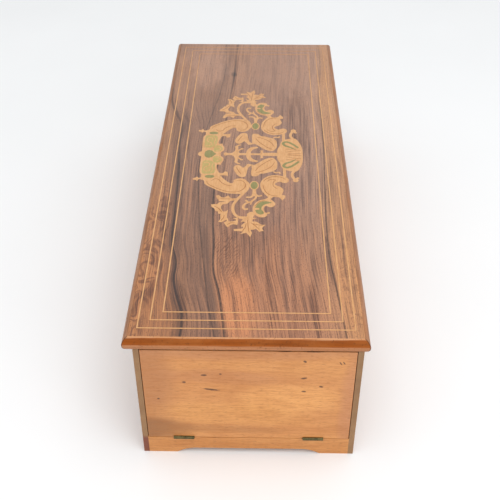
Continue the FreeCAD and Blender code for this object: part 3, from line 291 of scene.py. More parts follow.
def upright(red, green, blue):
    """The same for upright boards, which catch less light."""
    return bare(red, green, blue, glare=0.048, light=1.0)


def shaded(colour, share):
    return tuple(channel * share for channel in colour)


# ---------------------------------------------------------------- materials: the lid

LID_X = (-262.0, 262.0)
LID_Y = (-96.0, 96.0)
# Heart lines of the veneer's figure, as (x, y): a wavy dark line, the dark line beside the straight grain,
# its companion, and the edge of the pale sapwood.
FIGURE_WAVE = [(-260, 50), (-235, 50), (-210, 56), (-190, 60), (-170, 60), (-140, 66), (-100, 67),
               (-60, 68), (20, 72), (60, 73), (80, 80), (106, 87), (140, 89), (260, 90)]
FIGURE_HEART = [(-258, 16), (-225, 20), (-200, 24), (-180, 28), (-140, 30), (-110, 32), (-60, 33.5),
                (60, 28), (110, 25), (175, 22), (260, 20)]
FIGURE_SECOND = [(-255, 24), (-216, 31), (-180, 35.5), (-145, 40), (-100, 45), (0, 50), (175, 33),
                 (260, 34)]
FIGURE_SAP = [(-254, -75.5), (-220, -73), (-194, -71), (-170, -69), (-135, -68), (-80, -69), (0, -72),
              (60, -73), (140, -73), (180, -77), (260, -78)]

# Patches of the veneer, as (x, y), half sizes along and across, turn in degrees, colour and strength.
LIGHT_PATCHES = [((-222, 7), (40, 14), 2, bare(218, 150, 110), 0.85),
                 ((-190, -28), (66, 16), 0, bare(208, 148, 112), 0.5),
                 ((-110, -34), (110, 9), 0, bare(200, 152, 126), 0.45),
                 ((-200, -90), (60, 9), 2, bare(226, 166, 118), 0.6),
                 ((-160, 86), (120, 9), -2, bare(212, 150, 106), 0.65),
                 ((-40, 84), (60, 6), 1, bare(200, 148, 114), 0.5),
                 ((205, 52), (62, 20), 0, hazy(212, 172, 150), 0.6),
                 ((120, -88), (150, 7), 0, hazy(216, 170, 136), 0.5),
                 ((150, 86), (90, 7), 0, hazy(210, 166, 138), 0.45)]
DARK_PATCHES = [((-148, 6), (34, 15), 0, bare(152, 112, 92), 0.5),
                ((-205, -17), (50, 2.4), 2, bare(120, 88, 76), 0.6),
                ((-215, -37), (44, 2.2), 1, bare(126, 92, 80), 0.5),
                ((-226, -53), (36, 3), 3, bare(122, 88, 76), 0.6),
                ((-120, 12), (18, 2.6), 0, bare(116, 96, 90), 0.55),
                ((-100, -12), (60, 2.6), 1, bare(124, 100, 92), 0.5),
                ((-212, 52), (26, 4), 14, bare(96, 78, 72), 0.6),
                ((-120, 62), (110, 4), 3, bare(110, 92, 86), 0.5),
                ((30, 66), (90, 4), 2, bare(112, 94, 88), 0.45),
                ((100, 85), (48, 4), 8, bare(88, 66, 58), 0.35),
                ((190, 21), (80, 2.6), -1, hazy(124, 100, 92), 0.5),
                ((60, -48), (90, 11), 0, hazy(134, 108, 96), 0.4),
                ((-215, 82), (22, 5), -18, bare(116, 84, 66), 0.5),
                ((-165, 78), (14, 4), 25, bare(110, 80, 64), 0.5),
                ((-110, 76), (34, 3), 3, bare(116, 90, 78), 0.5),
                ((175, 22), (6, 3.4), 10, bare(60, 42, 36), 0.85),
                ((-135, -66), (5, 1.4), 0, bare(88, 60, 48), 0.5)]


def rosewood():
    """Faded rosewood veneer: grey-brown straight grain at the left, golden flame and pale sapwood."""
    g = Graph("rosewood_veneer")
    slow = g.stretched((0.008, 0.02, 0), detail=3)
    sway = g.span(slow, 0, 1, -4, 4)
    lines = [g.curve(g.x, *LID_X, *LID_Y, points)
             for points in (FIGURE_WAVE, FIGURE_HEART, FIGURE_SECOND, FIGURE_SAP)]
    wave, heart, second, sap = lines
    bands = ((92.0, wave, 0.22), (wave, heart, 0.28), (heart, sap, 0.38), (sap, -92.0, 0.12))
    place = 0.0
    for start, end, size in bands:
        place = g.plus(place, g.span(g.y, start, end, 0, size))
    swayed = g.plus(place, g.times(sway, 0.002))

    grain = g.combine(g.times(g.x, 0.008), g.times(place, 60.0))
    wide = g.noise(grain, detail=3, roughness=0.6)
    fibre = g.noise(g.combine(g.times(g.x, 0.02), g.times(place, 240.0)), detail=4)
    pores = g.stretched((0.16, 1.7, 0), detail=2, roughness=0.7)

    near = g.ramp(swayed, [(0.0, bare(176, 124, 90)), (0.08, bare(190, 134, 98)),
                           (0.17, bare(182, 130, 98)), (0.21, bare(136, 104, 88)),
                           (0.26, bare(168, 126, 102)), (0.36, bare(156, 120, 102)),
                           (0.46, bare(142, 112, 97)), (0.52, bare(200, 142, 108)),
                           (0.62, bare(194, 140, 110)), (0.70, bare(176, 128, 104)),
                           (0.80, bare(194, 142, 112)), (0.87, bare(196, 146, 114)),
                           (0.9, bare(212, 156, 114)), (1.0, bare(204, 150, 110))])
    far = g.ramp(swayed, [(0.0, hazy(186, 144, 116)), (0.1, hazy(188, 148, 122)),
                          (0.2, hazy(152, 124, 110)), (0.27, hazy(184, 148, 128)),
                          (0.45, hazy(170, 140, 124)), (0.52, hazy(194, 156, 134)),
                          (0.62, hazy(188, 154, 136)), (0.72, hazy(190, 156, 138)),
                          (0.86, hazy(200, 164, 144)), (0.9, hazy(214, 168, 134)),
                          (1.0, hazy(212, 164, 130))])
    along = g.span(g.plus(g.x, g.times(wide, 90)), -180, 40, smooth=True)
    colour = g.mix(along, near, far)

    wobble = g.span(g.stretched((0.05, 0.16, 0), detail=4), 0, 1, -0.9, 0.9)
    threads = g.span(fibre, 0.4, 0.58, 0.25, 1.25)
    for patches, share in ((LIGHT_PATCHES, 1.0), (DARK_PATCHES, threads)):
        for centre, halves, turn, tint, strength in patches:
            patch = g.spot(centre, halves, turn, g.x, g.y, wobble, edge=0.7)
            patch = g.math("MULTIPLY", g.times(patch, strength), share, clamp=True)
            colour = g.mix(patch, colour, tint)

    middle = g.spot((-30, -6), (150, 96), 0, g.x, g.y, wobble, edge=0.8)
    colour = g.mix(g.times(middle, 0.24), colour, bare(104, 82, 76))
    colour = g.mix(g.span(g.x, 20, 150, 0, 0.2), colour, hazy(136, 104, 90))
    far_haze_contrast = g.span(g.x, -40, 140, 1.0, 0.55)        # painted haze: the far half has less contrast, standing in for the stronger glare on its polish
    for value, start, end, strength, tint in ((wide, 0.48, 0.7, 0.7, bare(112, 90, 84)),
                                              (wide, 0.44, 0.2, 0.5, bare(218, 156, 118)),
                                              (fibre, 0.5, 0.68, 0.62, bare(98, 80, 76)),
                                              (fibre, 0.44, 0.26, 0.45, bare(218, 158, 120))):
        share = g.times(g.span(value, start, end, 0, strength), far_haze_contrast)
        colour = g.mix(share, colour, tint)

    # Feathered lines of the heart figure, slanting over the brown beside the flame.
    feather = g.plus(g.times(g.y, 2.5), g.times(g.x, 1.1))
    bends = g.stretched((0.07, 0.2, 0), detail=3)
    feather = g.math("SINE", g.plus(feather, g.times(bends, 22)))
    plume = g.spot((-156, 17), (30, 10), 8, g.x, g.y, wobble, edge=0.6)
    plume = g.times(plume, g.span(bends, 0.35, 0.6, 0.3, 1.0))
    colour = g.mix(g.times(plume, g.span(feather, 0.1, 0.9, 0, 0.7)), colour, bare(108, 80, 68))
    # Curled figure in the two borders at the flap's end.
    turned = g.stretched((0.03, 0.06, 0), detail=1, distortion=0.8)
    curl = g.span(g.math("SINE", g.times(turned, 48)), 0.2, 1.0, 0, 0.6)
    curl = g.times(curl, g.span(fibre, 0.3, 0.6, 0.6, 1.1))
    curl = g.math("MAXIMUM", curl, g.span(turned, 0.58, 0.62, 0, 0.5))
    borders = (((-160, 83), (110, 11), -3, 1.0), ((-190, -84), (60, 8), 2, 0.5))
    for centre, halves, turn, strength in borders:
        border = g.spot(centre, halves, turn, g.x, g.y, wobble, edge=0.5)
        border = g.times(g.times(border, curl), strength)
        colour = g.mix(border, colour, bare(96, 70, 58))

    ragged = g.times(g.minus(fibre, 0.5), 2.0)
    for line, half, strength in ((wave, 1.5, 0.85), (heart, 1.5, 0.9), (second, 1.0, 0.65),
                                 (sap, 1.0, 0.8)):
        gap = g.math("ABSOLUTE", g.plus(g.minus(g.y, line), ragged))
        share = g.span(gap, half, half * 0.25, 0, strength, smooth=True)
        broken = g.times(g.times(share, far_haze_contrast), g.span(pores, 0.25, 0.55, 0.4, 1.0))
        colour = g.mix(broken, colour, bare(78, 62, 58))
    pores = g.math("MAXIMUM", pores, g.stretched((0.45, 1.3, 0), detail=1))
    colour = g.mix(g.span(pores, 0.6, 0.74, 0, 0.7), colour, bare(84, 58, 48))

    rough = g.span(g.noise(g.place, 0.03, 4), 0.3, 0.7, 0.34, 0.5)
    height = g.minus(g.times(fibre, 0.4), g.span(pores, 0.6, 0.72))
    return g.finish(colour, rough, height, bump=0.25, depth=0.05, Coat_Weight=0.35, Coat_Roughness=0.28)


def inlay_wood(name, light, dark, edge):
    """A thin inlay: fine grain, some grime, and painted haze fading it towards the far end."""
    g = Graph(name)
    grain = g.stretched((0.12, 0.6, 0.6), detail=4)
    colour = g.mix(g.span(grain, 0.3, 0.7), light, dark)
    grime = g.stretched((0.09, 0.09, 0.09), detail=5, roughness=0.7)
    colour = g.mix(g.span(grime, 0.54, 0.74, 0, 0.4), colour, edge)
    # Painted haze: towards the far end the inlay is blended into a brown like the veneer there, standing
    # in for the stronger glare on the polish.
    far_haze_reach = g.plus(g.x, g.span(grime, 0.3, 0.7, -60, 60))
    colour = g.mix(g.span(far_haze_reach, 100, 230, 0, 0.6), colour, hazy(186, 142, 114))
    rough = g.span(grime, 0.3, 0.7, 0.36, 0.5)
    return g.finish(colour, rough, grain, bump=0.2, depth=0.04, Coat_Weight=0.35, Coat_Roughness=0.28)


def moulding_wood():
    """The lid's moulding: a red-brown round above a duller, paler flank, with a painted highlight as a
    light line on the top edge and a painted shadow band at its foot.
    """
    g = Graph("lid_moulding")
    grain = g.stretched((0.02, 0.5, 0.6), detail=4, roughness=0.6)
    cross = g.stretched((0.5, 0.02, 0.6), detail=4, roughness=0.6)
    far_side = g.minus(g.math("ABSOLUTE", g.x), VENEER_HIGH.x - VENEER_HIGH.y)
    mitre = g.minus(far_side, g.math("ABSOLUTE", g.y))
    at_end = g.span(mitre, -0.05, 0.05)
    along = g.mix(at_end, grain, cross)
    side = g.mix(g.span(grain, 0.35, 0.65), rgb(176, 128, 96), rgb(140, 98, 72))
    level = g.plus(g.z, g.span(along, 0.3, 0.7, -0.4, 0.4))
    height = g.span(level, LID_LOW.z, VENEER_HIGH.z)
    # Painted light in the profile's ramp: the foot, darkened down to shaded(pale, 0.4), is a painted
    # shadow band, and the edge colour over the top few hundredths is a painted highlight line.
    pale, red, edge = (0.5, 0.215, 0.098), (0.27, 0.066, 0.008), (0.66, 0.33, 0.16)
    colour = g.ramp(height, [(0.0, shaded(pale, 0.4)), (0.07, shaded(pale, 0.8)), (0.3, pale),
                             (0.52, shaded(pale, 0.95)), (0.62, shaded(red, 1.3)), (0.72, red),
                             (0.94, shaded(red, 1.05)), (0.972, edge), (1.0, edge)])
    colour = g.mix(g.span(along, 0.42, 0.75, 0, 0.5), colour, (0.11, 0.028, 0.006))
    colour = g.mix(at_end, side, colour)
    patches = g.stretched((0.03, 0.03, 0.1), detail=4, roughness=0.65)
    colour = g.mix(g.span(patches, 0.45, 0.7, 0, 0.35), colour, (0.42, 0.15, 0.04))
    colour = g.mix(g.span(patches, 0.45, 0.25, 0, 0.4), colour, (0.16, 0.05, 0.014))
    nicks = g.noise(g.place, 0.45, 3, 0.7)
    colour = g.mix(g.span(nicks, 0.58, 0.72, 0, 0.6), colour, (0.07, 0.026, 0.01))
    seam = g.span(g.math("ABSOLUTE", mitre), 0.7, 0.2, 0, 0.8)
    colour = g.mix(seam, colour, (0.06, 0.025, 0.012))
    rough = g.span(patches, 0.3, 0.7, 0.3, 0.5)
    return g.finish(colour, rough, along, bump=0.2, depth=0.06, Specular_IOR_Level=0.1)


# ---------------------------------------------------------------- materials: the case and the works

def board_wood(name, light, dark, deep, scales, marks=(), tones=(), end_grain=False, gloss=0.45):
    """Plain polished wood with long grain. marks are dents on an end face: (y, z, half length, half
    width, turn); tones are broad patches of it: (y, z), half sizes, turn, colour and strength."""
    g = Graph(name)
    wide = g.stretched([s * 0.25 for s in scales], detail=3, distortion=0.4)
    fine = g.stretched([s * 2.2 for s in scales], detail=4, roughness=0.65)
    pores = g.stretched([s * 7 for s in scales], detail=1)
    colour = g.mix(g.span(wide, 0.3, 0.7), light, dark)
    soft = g.span(g.noise(g.place, 0.03, 3), 0, 1, -0.7, 0.7)
    for centre, halves, turn, tint, strength in tones:
        patch = g.spot(centre, halves, turn, g.y, g.z, soft, edge=0.8)
        colour = g.mix(g.times(patch, strength), colour, tint)
    colour = g.mix(g.span(fine, 0.45, 0.75, 0, 0.55), colour, deep)
    colour = g.mix(g.span(pores, 0.6, 0.72, 0, 0.5), colour, shaded(deep, 0.6))
    grime = g.noise(g.place, 0.02, 5, 0.65)
    colour = g.mix(g.span(grime, 0.5, 0.75, 0, 0.3), colour, deep)
    height = g.plus(g.times(fine, 0.4), g.times(grime, 0.3))
    if end_grain:
        tip = g.mix(g.span(wide, 0.3, 0.7), upright(160, 124, 90), upright(144, 110, 80))
        foot = g.mix(g.span(wide, 0.3, 0.7), upright(150, 90, 58), upright(126, 72, 46))
        low = g.times(g.span(g.z, RAIL_HIGH.z + 2, RAIL_HIGH.z - 2, 0, 0.85), g.span(g.y, -1, 1))
        tip = g.mix(low, tip, foot)
        colour = g.mix(g.span(g.math("ABSOLUTE", g.x), CASE_END - 0.3, CASE_END - 0.2), colour, tip)
    wobble = g.span(g.noise(g.place, 0.5, 3), 0, 1, -0.7, 0.7)
    outside = g.span(g.x, FLAP_LOW.x + 1, FLAP_LOW.x + 0.5)
    for y, z, half, width, turn in marks:
        mark = g.spot((y, z), (half, width), turn, g.y, g.z, wobble, edge=0.6)
        mark = g.times(mark, outside)
        colour = g.mix(g.times(mark, 0.88), colour, shaded(deep, 0.2))
        height = g.minus(height, g.times(mark, 1.5))
    rough = g.span(grime, 0.3, 0.7, gloss - 0.08, gloss + 0.1)
    return g.finish(colour, rough, height, bump=0.3, depth=0.15, Coat_Weight=0.2, Coat_Roughness=0.3)


def metal(name, bright, dull, stain, rough_low, rough_high, brushed=(0.3, 0.3, 0.3), age=0.3):
    """Old metal: fine tool lines, dull patches and dark spots."""
    g = Graph(name)
    lines = g.stretched(brushed, detail=3, roughness=0.6)
    patches = g.noise(g.place, 0.09, 5, 0.65)
    spots = g.noise(g.place, 0.6, 2, 0.7)
    colour = g.mix(g.span(lines, 0.3, 0.7), bright, dull)
    colour = g.mix(g.span(patches, 0.48, 0.72, 0, 0.7), colour, dull)
    colour = g.mix(g.span(spots, 0.64, 0.76, 0, age), colour, stain)
    rough = g.span(g.plus(patches, lines), 0.7, 1.3, rough_low, rough_high)
    return g.finish(colour, rough, lines, bump=0.12, depth=0.05, Metallic=1.0)


def cast_iron():
    """The bedplate: dark lacquer over cast iron, faintly pebbled."""
    g = Graph("bed_iron")
    pebbles = g.noise(g.place, 0.8, 4, 0.6)
    dust = g.noise(g.place, 0.03, 5, 0.7)
    colour = g.mix(g.span(pebbles, 0.35, 0.7), rgb(60, 58, 56), rgb(86, 82, 78))
    colour = g.mix(g.span(dust, 0.5, 0.75, 0, 0.4), colour, rgb(128, 112, 94))
    return g.finish(colour, g.span(dust, 0.3, 0.7, 0.4, 0.6), pebbles, bump=0.4, depth=0.2, Metallic=0.5)


# Dents in the flap's face: y, z, half length, half width, turn in degrees.
FLAP_MARKS = [(27.6, 77.3, 6, 1.0, 8), (33, 93.6, 2.2, 1.0, 0), (20, 95, 1.1, 0.7, 0),
              (48.6, 85.5, 1.4, 0.9, 0), (-45.2, 109.8, 1.5, 1, 40), (-45, 91.3, 2.4, 0.9, -12),
              (-58.8, 82, 1.7, 0.9, 20), (-45.4, 76.3, 1.7, 0.8, 0), (-72.6, 108.2, 1.8, 0.5, 60),
              (-75.2, 108.6, 1.6, 0.5, 60), (70, 66, 1, 0.8, 0), (-30, 120.4, 5, 0.5, 0),
              (-52, 120.3, 7, 0.5, 0)]
# Broad tones of the flap's face: (y, z), half sizes, turn, colour and strength.
FLAP_TONES = [((84, 84), (26, 70), 0, upright(184, 128, 90), 0.7),
              ((82, 30), (34, 12), 0, upright(146, 104, 72), 0.7),
              ((-34, 66), (40, 16), -4, upright(240, 176, 112), 0.6),
              ((14, 48), (60, 12), 3, upright(226, 164, 102), 0.5),
              ((0, 120), (100, 9), 0, upright(196, 138, 100), 0.6),
              ((22, 92), (44, 7), 4, upright(196, 138, 100), 0.4),
              ((-84, 60), (9, 60), 0, upright(196, 138, 104), 0.6),
              ((20, 30), (50, 5), 2, upright(176, 124, 84), 0.5)]

ROSEWOOD = rosewood()
BOXWOOD = inlay_wood("boxwood_inlay", bare(234, 184, 134), bare(218, 164, 114), bare(172, 124, 92))
GREEN_WOOD = inlay_wood("green_stained_inlay", bare(162, 153, 104), bare(146, 140, 96), bare(128, 112, 76))
OLIVE_WOOD = inlay_wood("olive_stained_inlay", bare(206, 178, 118), bare(186, 168, 108),
                        bare(216, 168, 114))
ENGRAVED_WOOD = inlay_wood("engraved_inlay", bare(186, 130, 88), bare(168, 116, 78), bare(150, 104, 72))
MOULDING = moulding_wood()
FLAP_WOOD = board_wood("flap_fruitwood", upright(220, 157, 101), upright(208, 144, 94),
                       upright(176, 112, 68), (0.35, 0.03, 0.3), FLAP_MARKS,
                       tones=FLAP_TONES)
RAIL_WOOD = board_wood("rail_fruitwood", upright(218, 156, 100), upright(204, 140, 86),
                       upright(164, 102, 60), (0.35, 0.03, 0.3))
CASE_WOOD = board_wood("case_wood", rgb(198, 132, 72), rgb(172, 106, 54), rgb(110, 62, 30),
                       (0.02, 0.3, 0.3), end_grain=True, gloss=0.4)
END_WOOD = board_wood("right_end_wood", rgb(204, 138, 76), rgb(180, 112, 58), rgb(114, 66, 32),
                      (0.3, 0.02, 0.3), gloss=0.4)
PINE = board_wood("pine", bare(206, 168, 118), bare(188, 146, 96), bare(150, 108, 66), (0.015, 0.2, 0.2),
                  gloss=0.6)
PARTITION_WOOD = board_wood("partition_wood", bare(120, 82, 50), bare(98, 64, 40), bare(66, 42, 26),
                            (0.3, 0.02, 0.3))
BRASS = metal("brass", rgb(226, 186, 110), rgb(196, 154, 84), rgb(120, 92, 48), 0.2, 0.38)
DARK_BRASS = metal("old_hinge_brass", rgb(118, 108, 72), rgb(86, 80, 56), rgb(44, 42, 32), 0.4, 0.6,
                   age=0.6)
STEEL = metal("steel", rgb(196, 194, 190), rgb(160, 158, 155), rgb(96, 84, 72), 0.2, 0.38)
CYLINDER_BRASS = metal("cylinder_brass", rgb(222, 184, 112), rgb(202, 164, 96), rgb(134, 104, 60), 0.22,
                       0.36, brushed=(0.02, 2.0, 2.0))
COMB_STEEL = metal("comb_steel", rgb(206, 206, 204), rgb(178, 178, 178), rgb(120, 112, 104), 0.25, 0.36,
                   brushed=(1.6, 0.02, 1.6), age=0.15)
# Painted shade: a dark metal that stands in for the shade inside the screws' slots.
SLOT_SHADE = metal("screw_slot", rgb(70, 60, 48), rgb(54, 46, 38), rgb(40, 34, 30), 0.5, 0.7)
IRON = cast_iron()

FINISHES = {"rosewood": ROSEWOOD, "moulding": MOULDING, "boxwood": BOXWOOD, "fruitwood": FLAP_WOOD,
            "case_wood": CASE_WOOD, "softwood": PINE, "brass": BRASS, "dark_brass": DARK_BRASS,
            "bed_iron": IRON, "steel": STEEL}
SPECIAL = {"end_rail": RAIL_WOOD, "right_end_board": END_WOOD, "partition": PARTITION_WOOD,
           "cylinder": CYLINDER_BRASS, "comb": COMB_STEEL}


EASED = ("front_board", "back_board", "right_end_board", "end_rail", "flap_board", "partition")
EASE = 0.4              # width of the eased edges


def dress_cad():
    """Give every CAD node its finish by its slot in the record, and ease the edges of the boards."""
    for name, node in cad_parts.items():
        slots = [m.name.split(".")[0] for m in node.data.materials if m]
        found = SPECIAL.get(name) or FINISHES.get(slots[0] if slots else "")
        if found is None:
            raise RuntimeError("no finish for %s with %s" % (name, slots))
        node.data.materials.clear()
        node.data.materials.append(found)
        if name in EASED:
            ease = node.modifiers.new("eased_edges", "BEVEL")
            ease.width = EASE * MM
            ease.segments = 2
            ease.limit_method = "ANGLE"


dress_cad()


# ---------------------------------------------------------------- the lid

def veneer_sheet():
    """The top veneer, with its edges eased, standing for the CAD sheet."""
    mesh = bmesh.new()
    ease = 0.15
    half_x, half_y = VENEER_HIGH.x, VENEER_HIGH.y
    rings = ((0, VENEER_LOW.z), (0, SHEET_TOP - ease), (ease, SHEET_TOP))
    loops = [[mesh.verts.new((sx * (half_x - inset), sy * (half_y - inset), z))
              for sx, sy in ((-1, -1), (1, -1), (1, 1), (-1, 1))] for inset, z in rings]
    for low, high in zip(loops, loops[1:]):
        for index in range(4):
            after = (index + 1) % 4
            mesh.faces.new((low[index], low[after], high[after], high[index]))
    mesh.faces.new(loops[0][::-1])
    mesh.faces.new(loops[-1])
    piece = mesh_piece("lid_veneer_sheet", mesh, "lid", ROSEWOOD)
    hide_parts("lid_veneer")


veneer_sheet()


# ---------------------------------------------------------------- the cartouche

MIRROR_X = 2.2      # the cartouche is the same on both sides of this line across the lid
ENGRAVED = (0.7, 0.4, 0.3)      # widths of the engraved lines: middle, start and end

# Each outline holds (y, x) points of the half nearer the flap. A whole outline starts and ends on the
# mirror line and is closed by its own mirror image.
BOX_HALVES = {
    "arm": [(46, -42), (43.8, -46), (43.2, -50.5), (40.5, -54), (36, -57.5), (31.5, -61), (26, -64.5),
            (20, -66.6), (13, -67.2), (7.5, -67.5), (4, -65), (1.5, -60), (0.5, -54), (1, -49.5),
            (3, -46), (4.5, -43.5), (7, -41.8), (10, -41.2), (13.5, -42.2), (15.8, -44.5), (16, -47.5),
            (17.2, -49.6), (19.5, -49), (22, -46.5), (24.5, -43.5), (26.5, -40.5), (28.5, -37.5),
            (34, -36)],
    "lower_scroll": [(-9.4, -51), (-11, -44), (-14.5, -39), (-19, -36), (-24, -35), (-30, -36.5),
                     (-34, -38.5), (-36.2, -42), (-36, -46), (-33.5, -48.4), (-30.5, -48),
                     (-28.5, -46.4), (-26, -47), (-23.4, -50), (-24.5, -52.6), (-27.2, -54.2),
                     (-29.8, -57), (-31.2, -61), (-29.6, -68), (-32.3, -69.2), (-32.3, -73),
                     (-29.6, -77, "tip"), (-28.4, -74.6), (-26.8, -72.4), (-21.8, -71.6),
                     (-18.8, -76, "tip"), (-16.2, -71.4), (-12.9, -66), (-10.4, -60)],
    "comma": [(-17.6, -72), (-14, -75.4), (-9, -77.4), (-5, -82), (-3, -88), (-3, -94), (-4.5, -99),
              (-8, -103), (-12.5, -103.8), (-15.5, -101.5), (-16, -98.8), (-18, -98.2), (-18.5, -96.3),
              (-17, -95.5), (-15.2, -96.8), (-13.8, -95.6), (-13, -92), (-13.2, -88.5), (-15, -85.8),
              (-16.5, -87), (-19, -88.2), (-22, -86.5), (-23.3, -83), (-22, -79.5), (-19.6, -76)],
    "leaf_one": [(10.5, -74, "tip"), (16, -74.6), (18.5, -73), (19.5, -70, "tip"), (21.5, -71.2),
                 (23, -73), (26, -73), (27.5, -71), (29, -69.2, "tip"), (31.2, -70.2, "tip"),
                 (30.5, -74), (28.8, -77), (28, -79.4), (23, -79.6), (19.5, -81.6), (17.4, -78.5),
                 (10.5, -77.6, "tip")],
    "leaf_two": [(20, -80.4), (27.5, -81), (29.5, -83.5), (32, -84), (35.2, -84.6, "tip"), (34.5, -88),
                 (32, -91), (30.6, -94.8, "tip"), (28.4, -95.5), (28, -98.6), (24, -99.2), (20.2, -99),
                 (19.4, -92.2, "tip"), (21, -94.5), (23.5, -95.5), (25.2, -92), (25.8, -88),
                 (24.5, -84.5), (20.4, -83)],
    "leaf_three": [(25.6, -99.4), (26, -103), (25.8, -107), (27.6, -111, "tip"), (24.5, -111.5),
                   (22, -109.2), (20.2, -108), (20, -104), (20.6, -98.6)],
    "leaf_four": [(20.4, -105), (20, -109.3), (22.4, -112.2, "tip"), (21.5, -114.3), (20, -117.5),
                  (18.6, -119.2, "tip"), (17, -116.5), (14, -114.6), (10.4, -115.6, "tip"), (10, -111),
                  (10.2, -105), (11.6, -104.6), (14.8, -106.2, "tip"), (12, -107.4), (12.4, -109.2),
                  (15, -110.2), (18, -110), (19.2, -106)],
    "flower": [(3, -111.6), (6, -114.6), (7.2, -117.6, "tip"), (5.6, -118.4), (6.2, -120.6),
               (13.4, -121.6, "tip"), (13, -124.4, "tip"), (8, -124.6), (5.4, -125.5),
               (8, -128.8, "tip"), (5, -127.8), (2.5, -127), (1, -129), (-1.3, -133, "tip"),
               (-2, -130), (-2.6, -127), (-1.8, -124), (-1.4, -122.4), (-4, -122.2), (-6, -121),
               (-7.5, -123), (-9.2, -125.7, "tip"), (-10.5, -124.3), (-13, -124.2, "tip"),
               (-11.8, -121.5), (-12, -118.5), (-14.8, -114.8, "tip"), (-11, -114.8), (-8.5, -112.5),
               (-6.5, -110.6), (-3, -110.2)],
    "bud": [(2.4, -102.6), (2.2, -99), (0.8, -97), (-1, -95.6), (-3.2, -95.8), (-4.6, -99),
            (-3.8, -102.4), (-3.4, -104.4), (-6.8, -105.2, "tip"), (-3.2, -107), (-2.4, -111),
            (2, -112.5), (5, -110.4), (8, -111.6, "tip"), (6.5, -109), (6.2, -106.6), (9.6, -105.6),
            (7, -102.8)],
    "mallet": [(16.6, -24), (15.6, -19.5), (12.5, -17.6), (9.8, -19.4), (7.3, -22.4), (5, -19.5),
               (3, -15.6), (0, -16.4), (-3, -17.4), (0.2, -19.4), (2.2, -22), (3.3, -27), (3.9, -33),
               (5, -37.5), (8, -39), (11.5, -37), (14.6, -31)],
    "wing": [(-24.6, -9), (-22.4, -5.2), (-19.4, -4), (-15, -6), (-11, -9.5), (-7, -14), (-4, -17),
             (-0.8, -19.4), (-0.9, -24), (-0.4, -30), (-1, -36.4), (-4, -37.6), (-7, -36.5),
             (-9.5, -33), (-13, -32.4), (-18, -30), (-22, -28), (-25, -24), (-25.8, -18), (-25.6, -12)],
    "tassel": [(32, -31.4), (28, -32.6), (26, -31.6), (25.4, -30), (23.6, -29.6), (22, -31.5),
               (21.5, -37.6, "tip"), (24, -36.4), (28, -36.4), (32, -37)],
    "trefoil": [(45.6, -38.6), (48.8, -41), (50, -40), (51, -38.8), (52.2, -40.4), (54.5, -41.8),
                (54.5, -44), (52, -44.5), (50.6, -46.2), (49.6, -44.5), (48.6, -43), (45, -44)],
    "stem_bar": [(-11.8, 2), (-11.6, -3.4), (-12, -5, "tip"), (-9, -5, "tip"), (-9.4, -3), (-9.2, 2)],
}
BOX_WHOLE = {
    "canopy": [(49, MIRROR_X), (49.2, -8), (49.4, -20), (49, -31), (47.2, -34.6), (47.2, -38.4),
               (45, -42.6), (40, -44), (34, -42), (29.6, -38), (29, -33.6), (30.6, -31), (31.8, -27.6),
               (33, -22), (32.6, -17.4), (29.2, -17.6, "tip"), (28.6, -14.5), (27.6, -12), (26.8, -8),
               (27.6, -4), (29.8, -1.6, "tip"), (30.2, MIRROR_X)],
    "finial": [(48, -2.4), (51.4, -1), (52.4, 0.6), (52.6, MIRROR_X)],
    "shell": [(-51.2, MIRROR_X), (-51.1, -4), (-50.4, -12), (-48.4, -20), (-45, -27.4), (-41, -28.6),
              (-36, -27), (-32, -25), (-29.6, -20), (-28.6, -14), (-26.6, -9), (-25.8, -4),
              (-25.8, MIRROR_X)],
    "trident": [(27.2, MIRROR_X), (26.6, 0), (24.8, -0.8), (23.4, 0.6), (20.5, 0.4), (18, -0.8),
                (16.4, -4), (15.8, -8), (16.3, -12), (14.6, -13.4), (13.2, -11.6), (12.9, -7),
                (12.4, -3), (11, 0.2), (5, 0.4), (5, MIRROR_X)],
    "stem": [(3, MIRROR_X), (3, 0.6), (-9, 0.6), (-10.5, -0.4), (-26.5, -0.6), (-26.5, MIRROR_X)],
}
# Each stroke: its line, its width, and the widths of its two ends.
BOX_STROKES = {
    "stem": ([(6, -66), (9.4, -72), (12.4, -78), (14.7, -84), (15.2, -90), (14.2, -97), (11.5, -102),
              (7, -104.2), (2, -104.4)], 2.8, 2.6, 3.0),
    "tendril_head": ([(-3.8, -60), (-4, -66), (-4.4, -70.6)], 3.6, 2.4, 2.4),
    "tendril_left": ([(-3.2, -66), (-2.4, -70.4), (0, -72.6), (3.4, -72.4)], 2.3, 1.6, 2.2),
    "tendril_right": ([(-4.6, -66), (-6.4, -69.4), (-8.4, -70.6), (-11, -69.4)], 2.3, 1.6, 1.8),
    "tendril_stem": ([(-5, -69), (-5.6, -72.5), (-4, -76), (-1.8, -79), (-0.8, -84.4)], 2.1, 1.8, 0.8),
    "tendril_fork": ([(-1.4, -79.8), (1.4, -80.4), (3.8, -77)], 2.2, 1.6, 1.6),
    "tendril_curl": ([(0.8, -80.6), (4, -83), (5.9, -87.5), (4.6, -91.4), (1.4, -91)], 2.3, 1.8, 2.4),
    "shell_link": ([(-32.4, -22), (-32.6, -30), (-32.6, -38.4)], 3.0, 3.0, 3.0),
    "shell_tendril": ([(-43, -26), (-40, -32), (-40, -37), (-41.8, -42)], 2.9, 2.8, 2.6),
    "shell_curl": ([(-21.8, -28.8), (-24.4, -31), (-27.4, -30.2), (-28.4, -32.8)], 1.9, 1.2, 1.2),
    "trident_twig": ([(13.4, -3), (11.4, -6), (9.2, -8)], 1.8, 1.6, 1.8),
    "trident_end": ([(15, -12), (13.2, -14.2), (10.6, -15.8)], 2.2, 2.4, 1.4),
    "crescent": ([(2.7, 2.6), (2.4, -2.4), (1, -6.4), (-1.6, -9.3), (-4.8, -10.4)], 4.6, 4.6, 2.6),
}
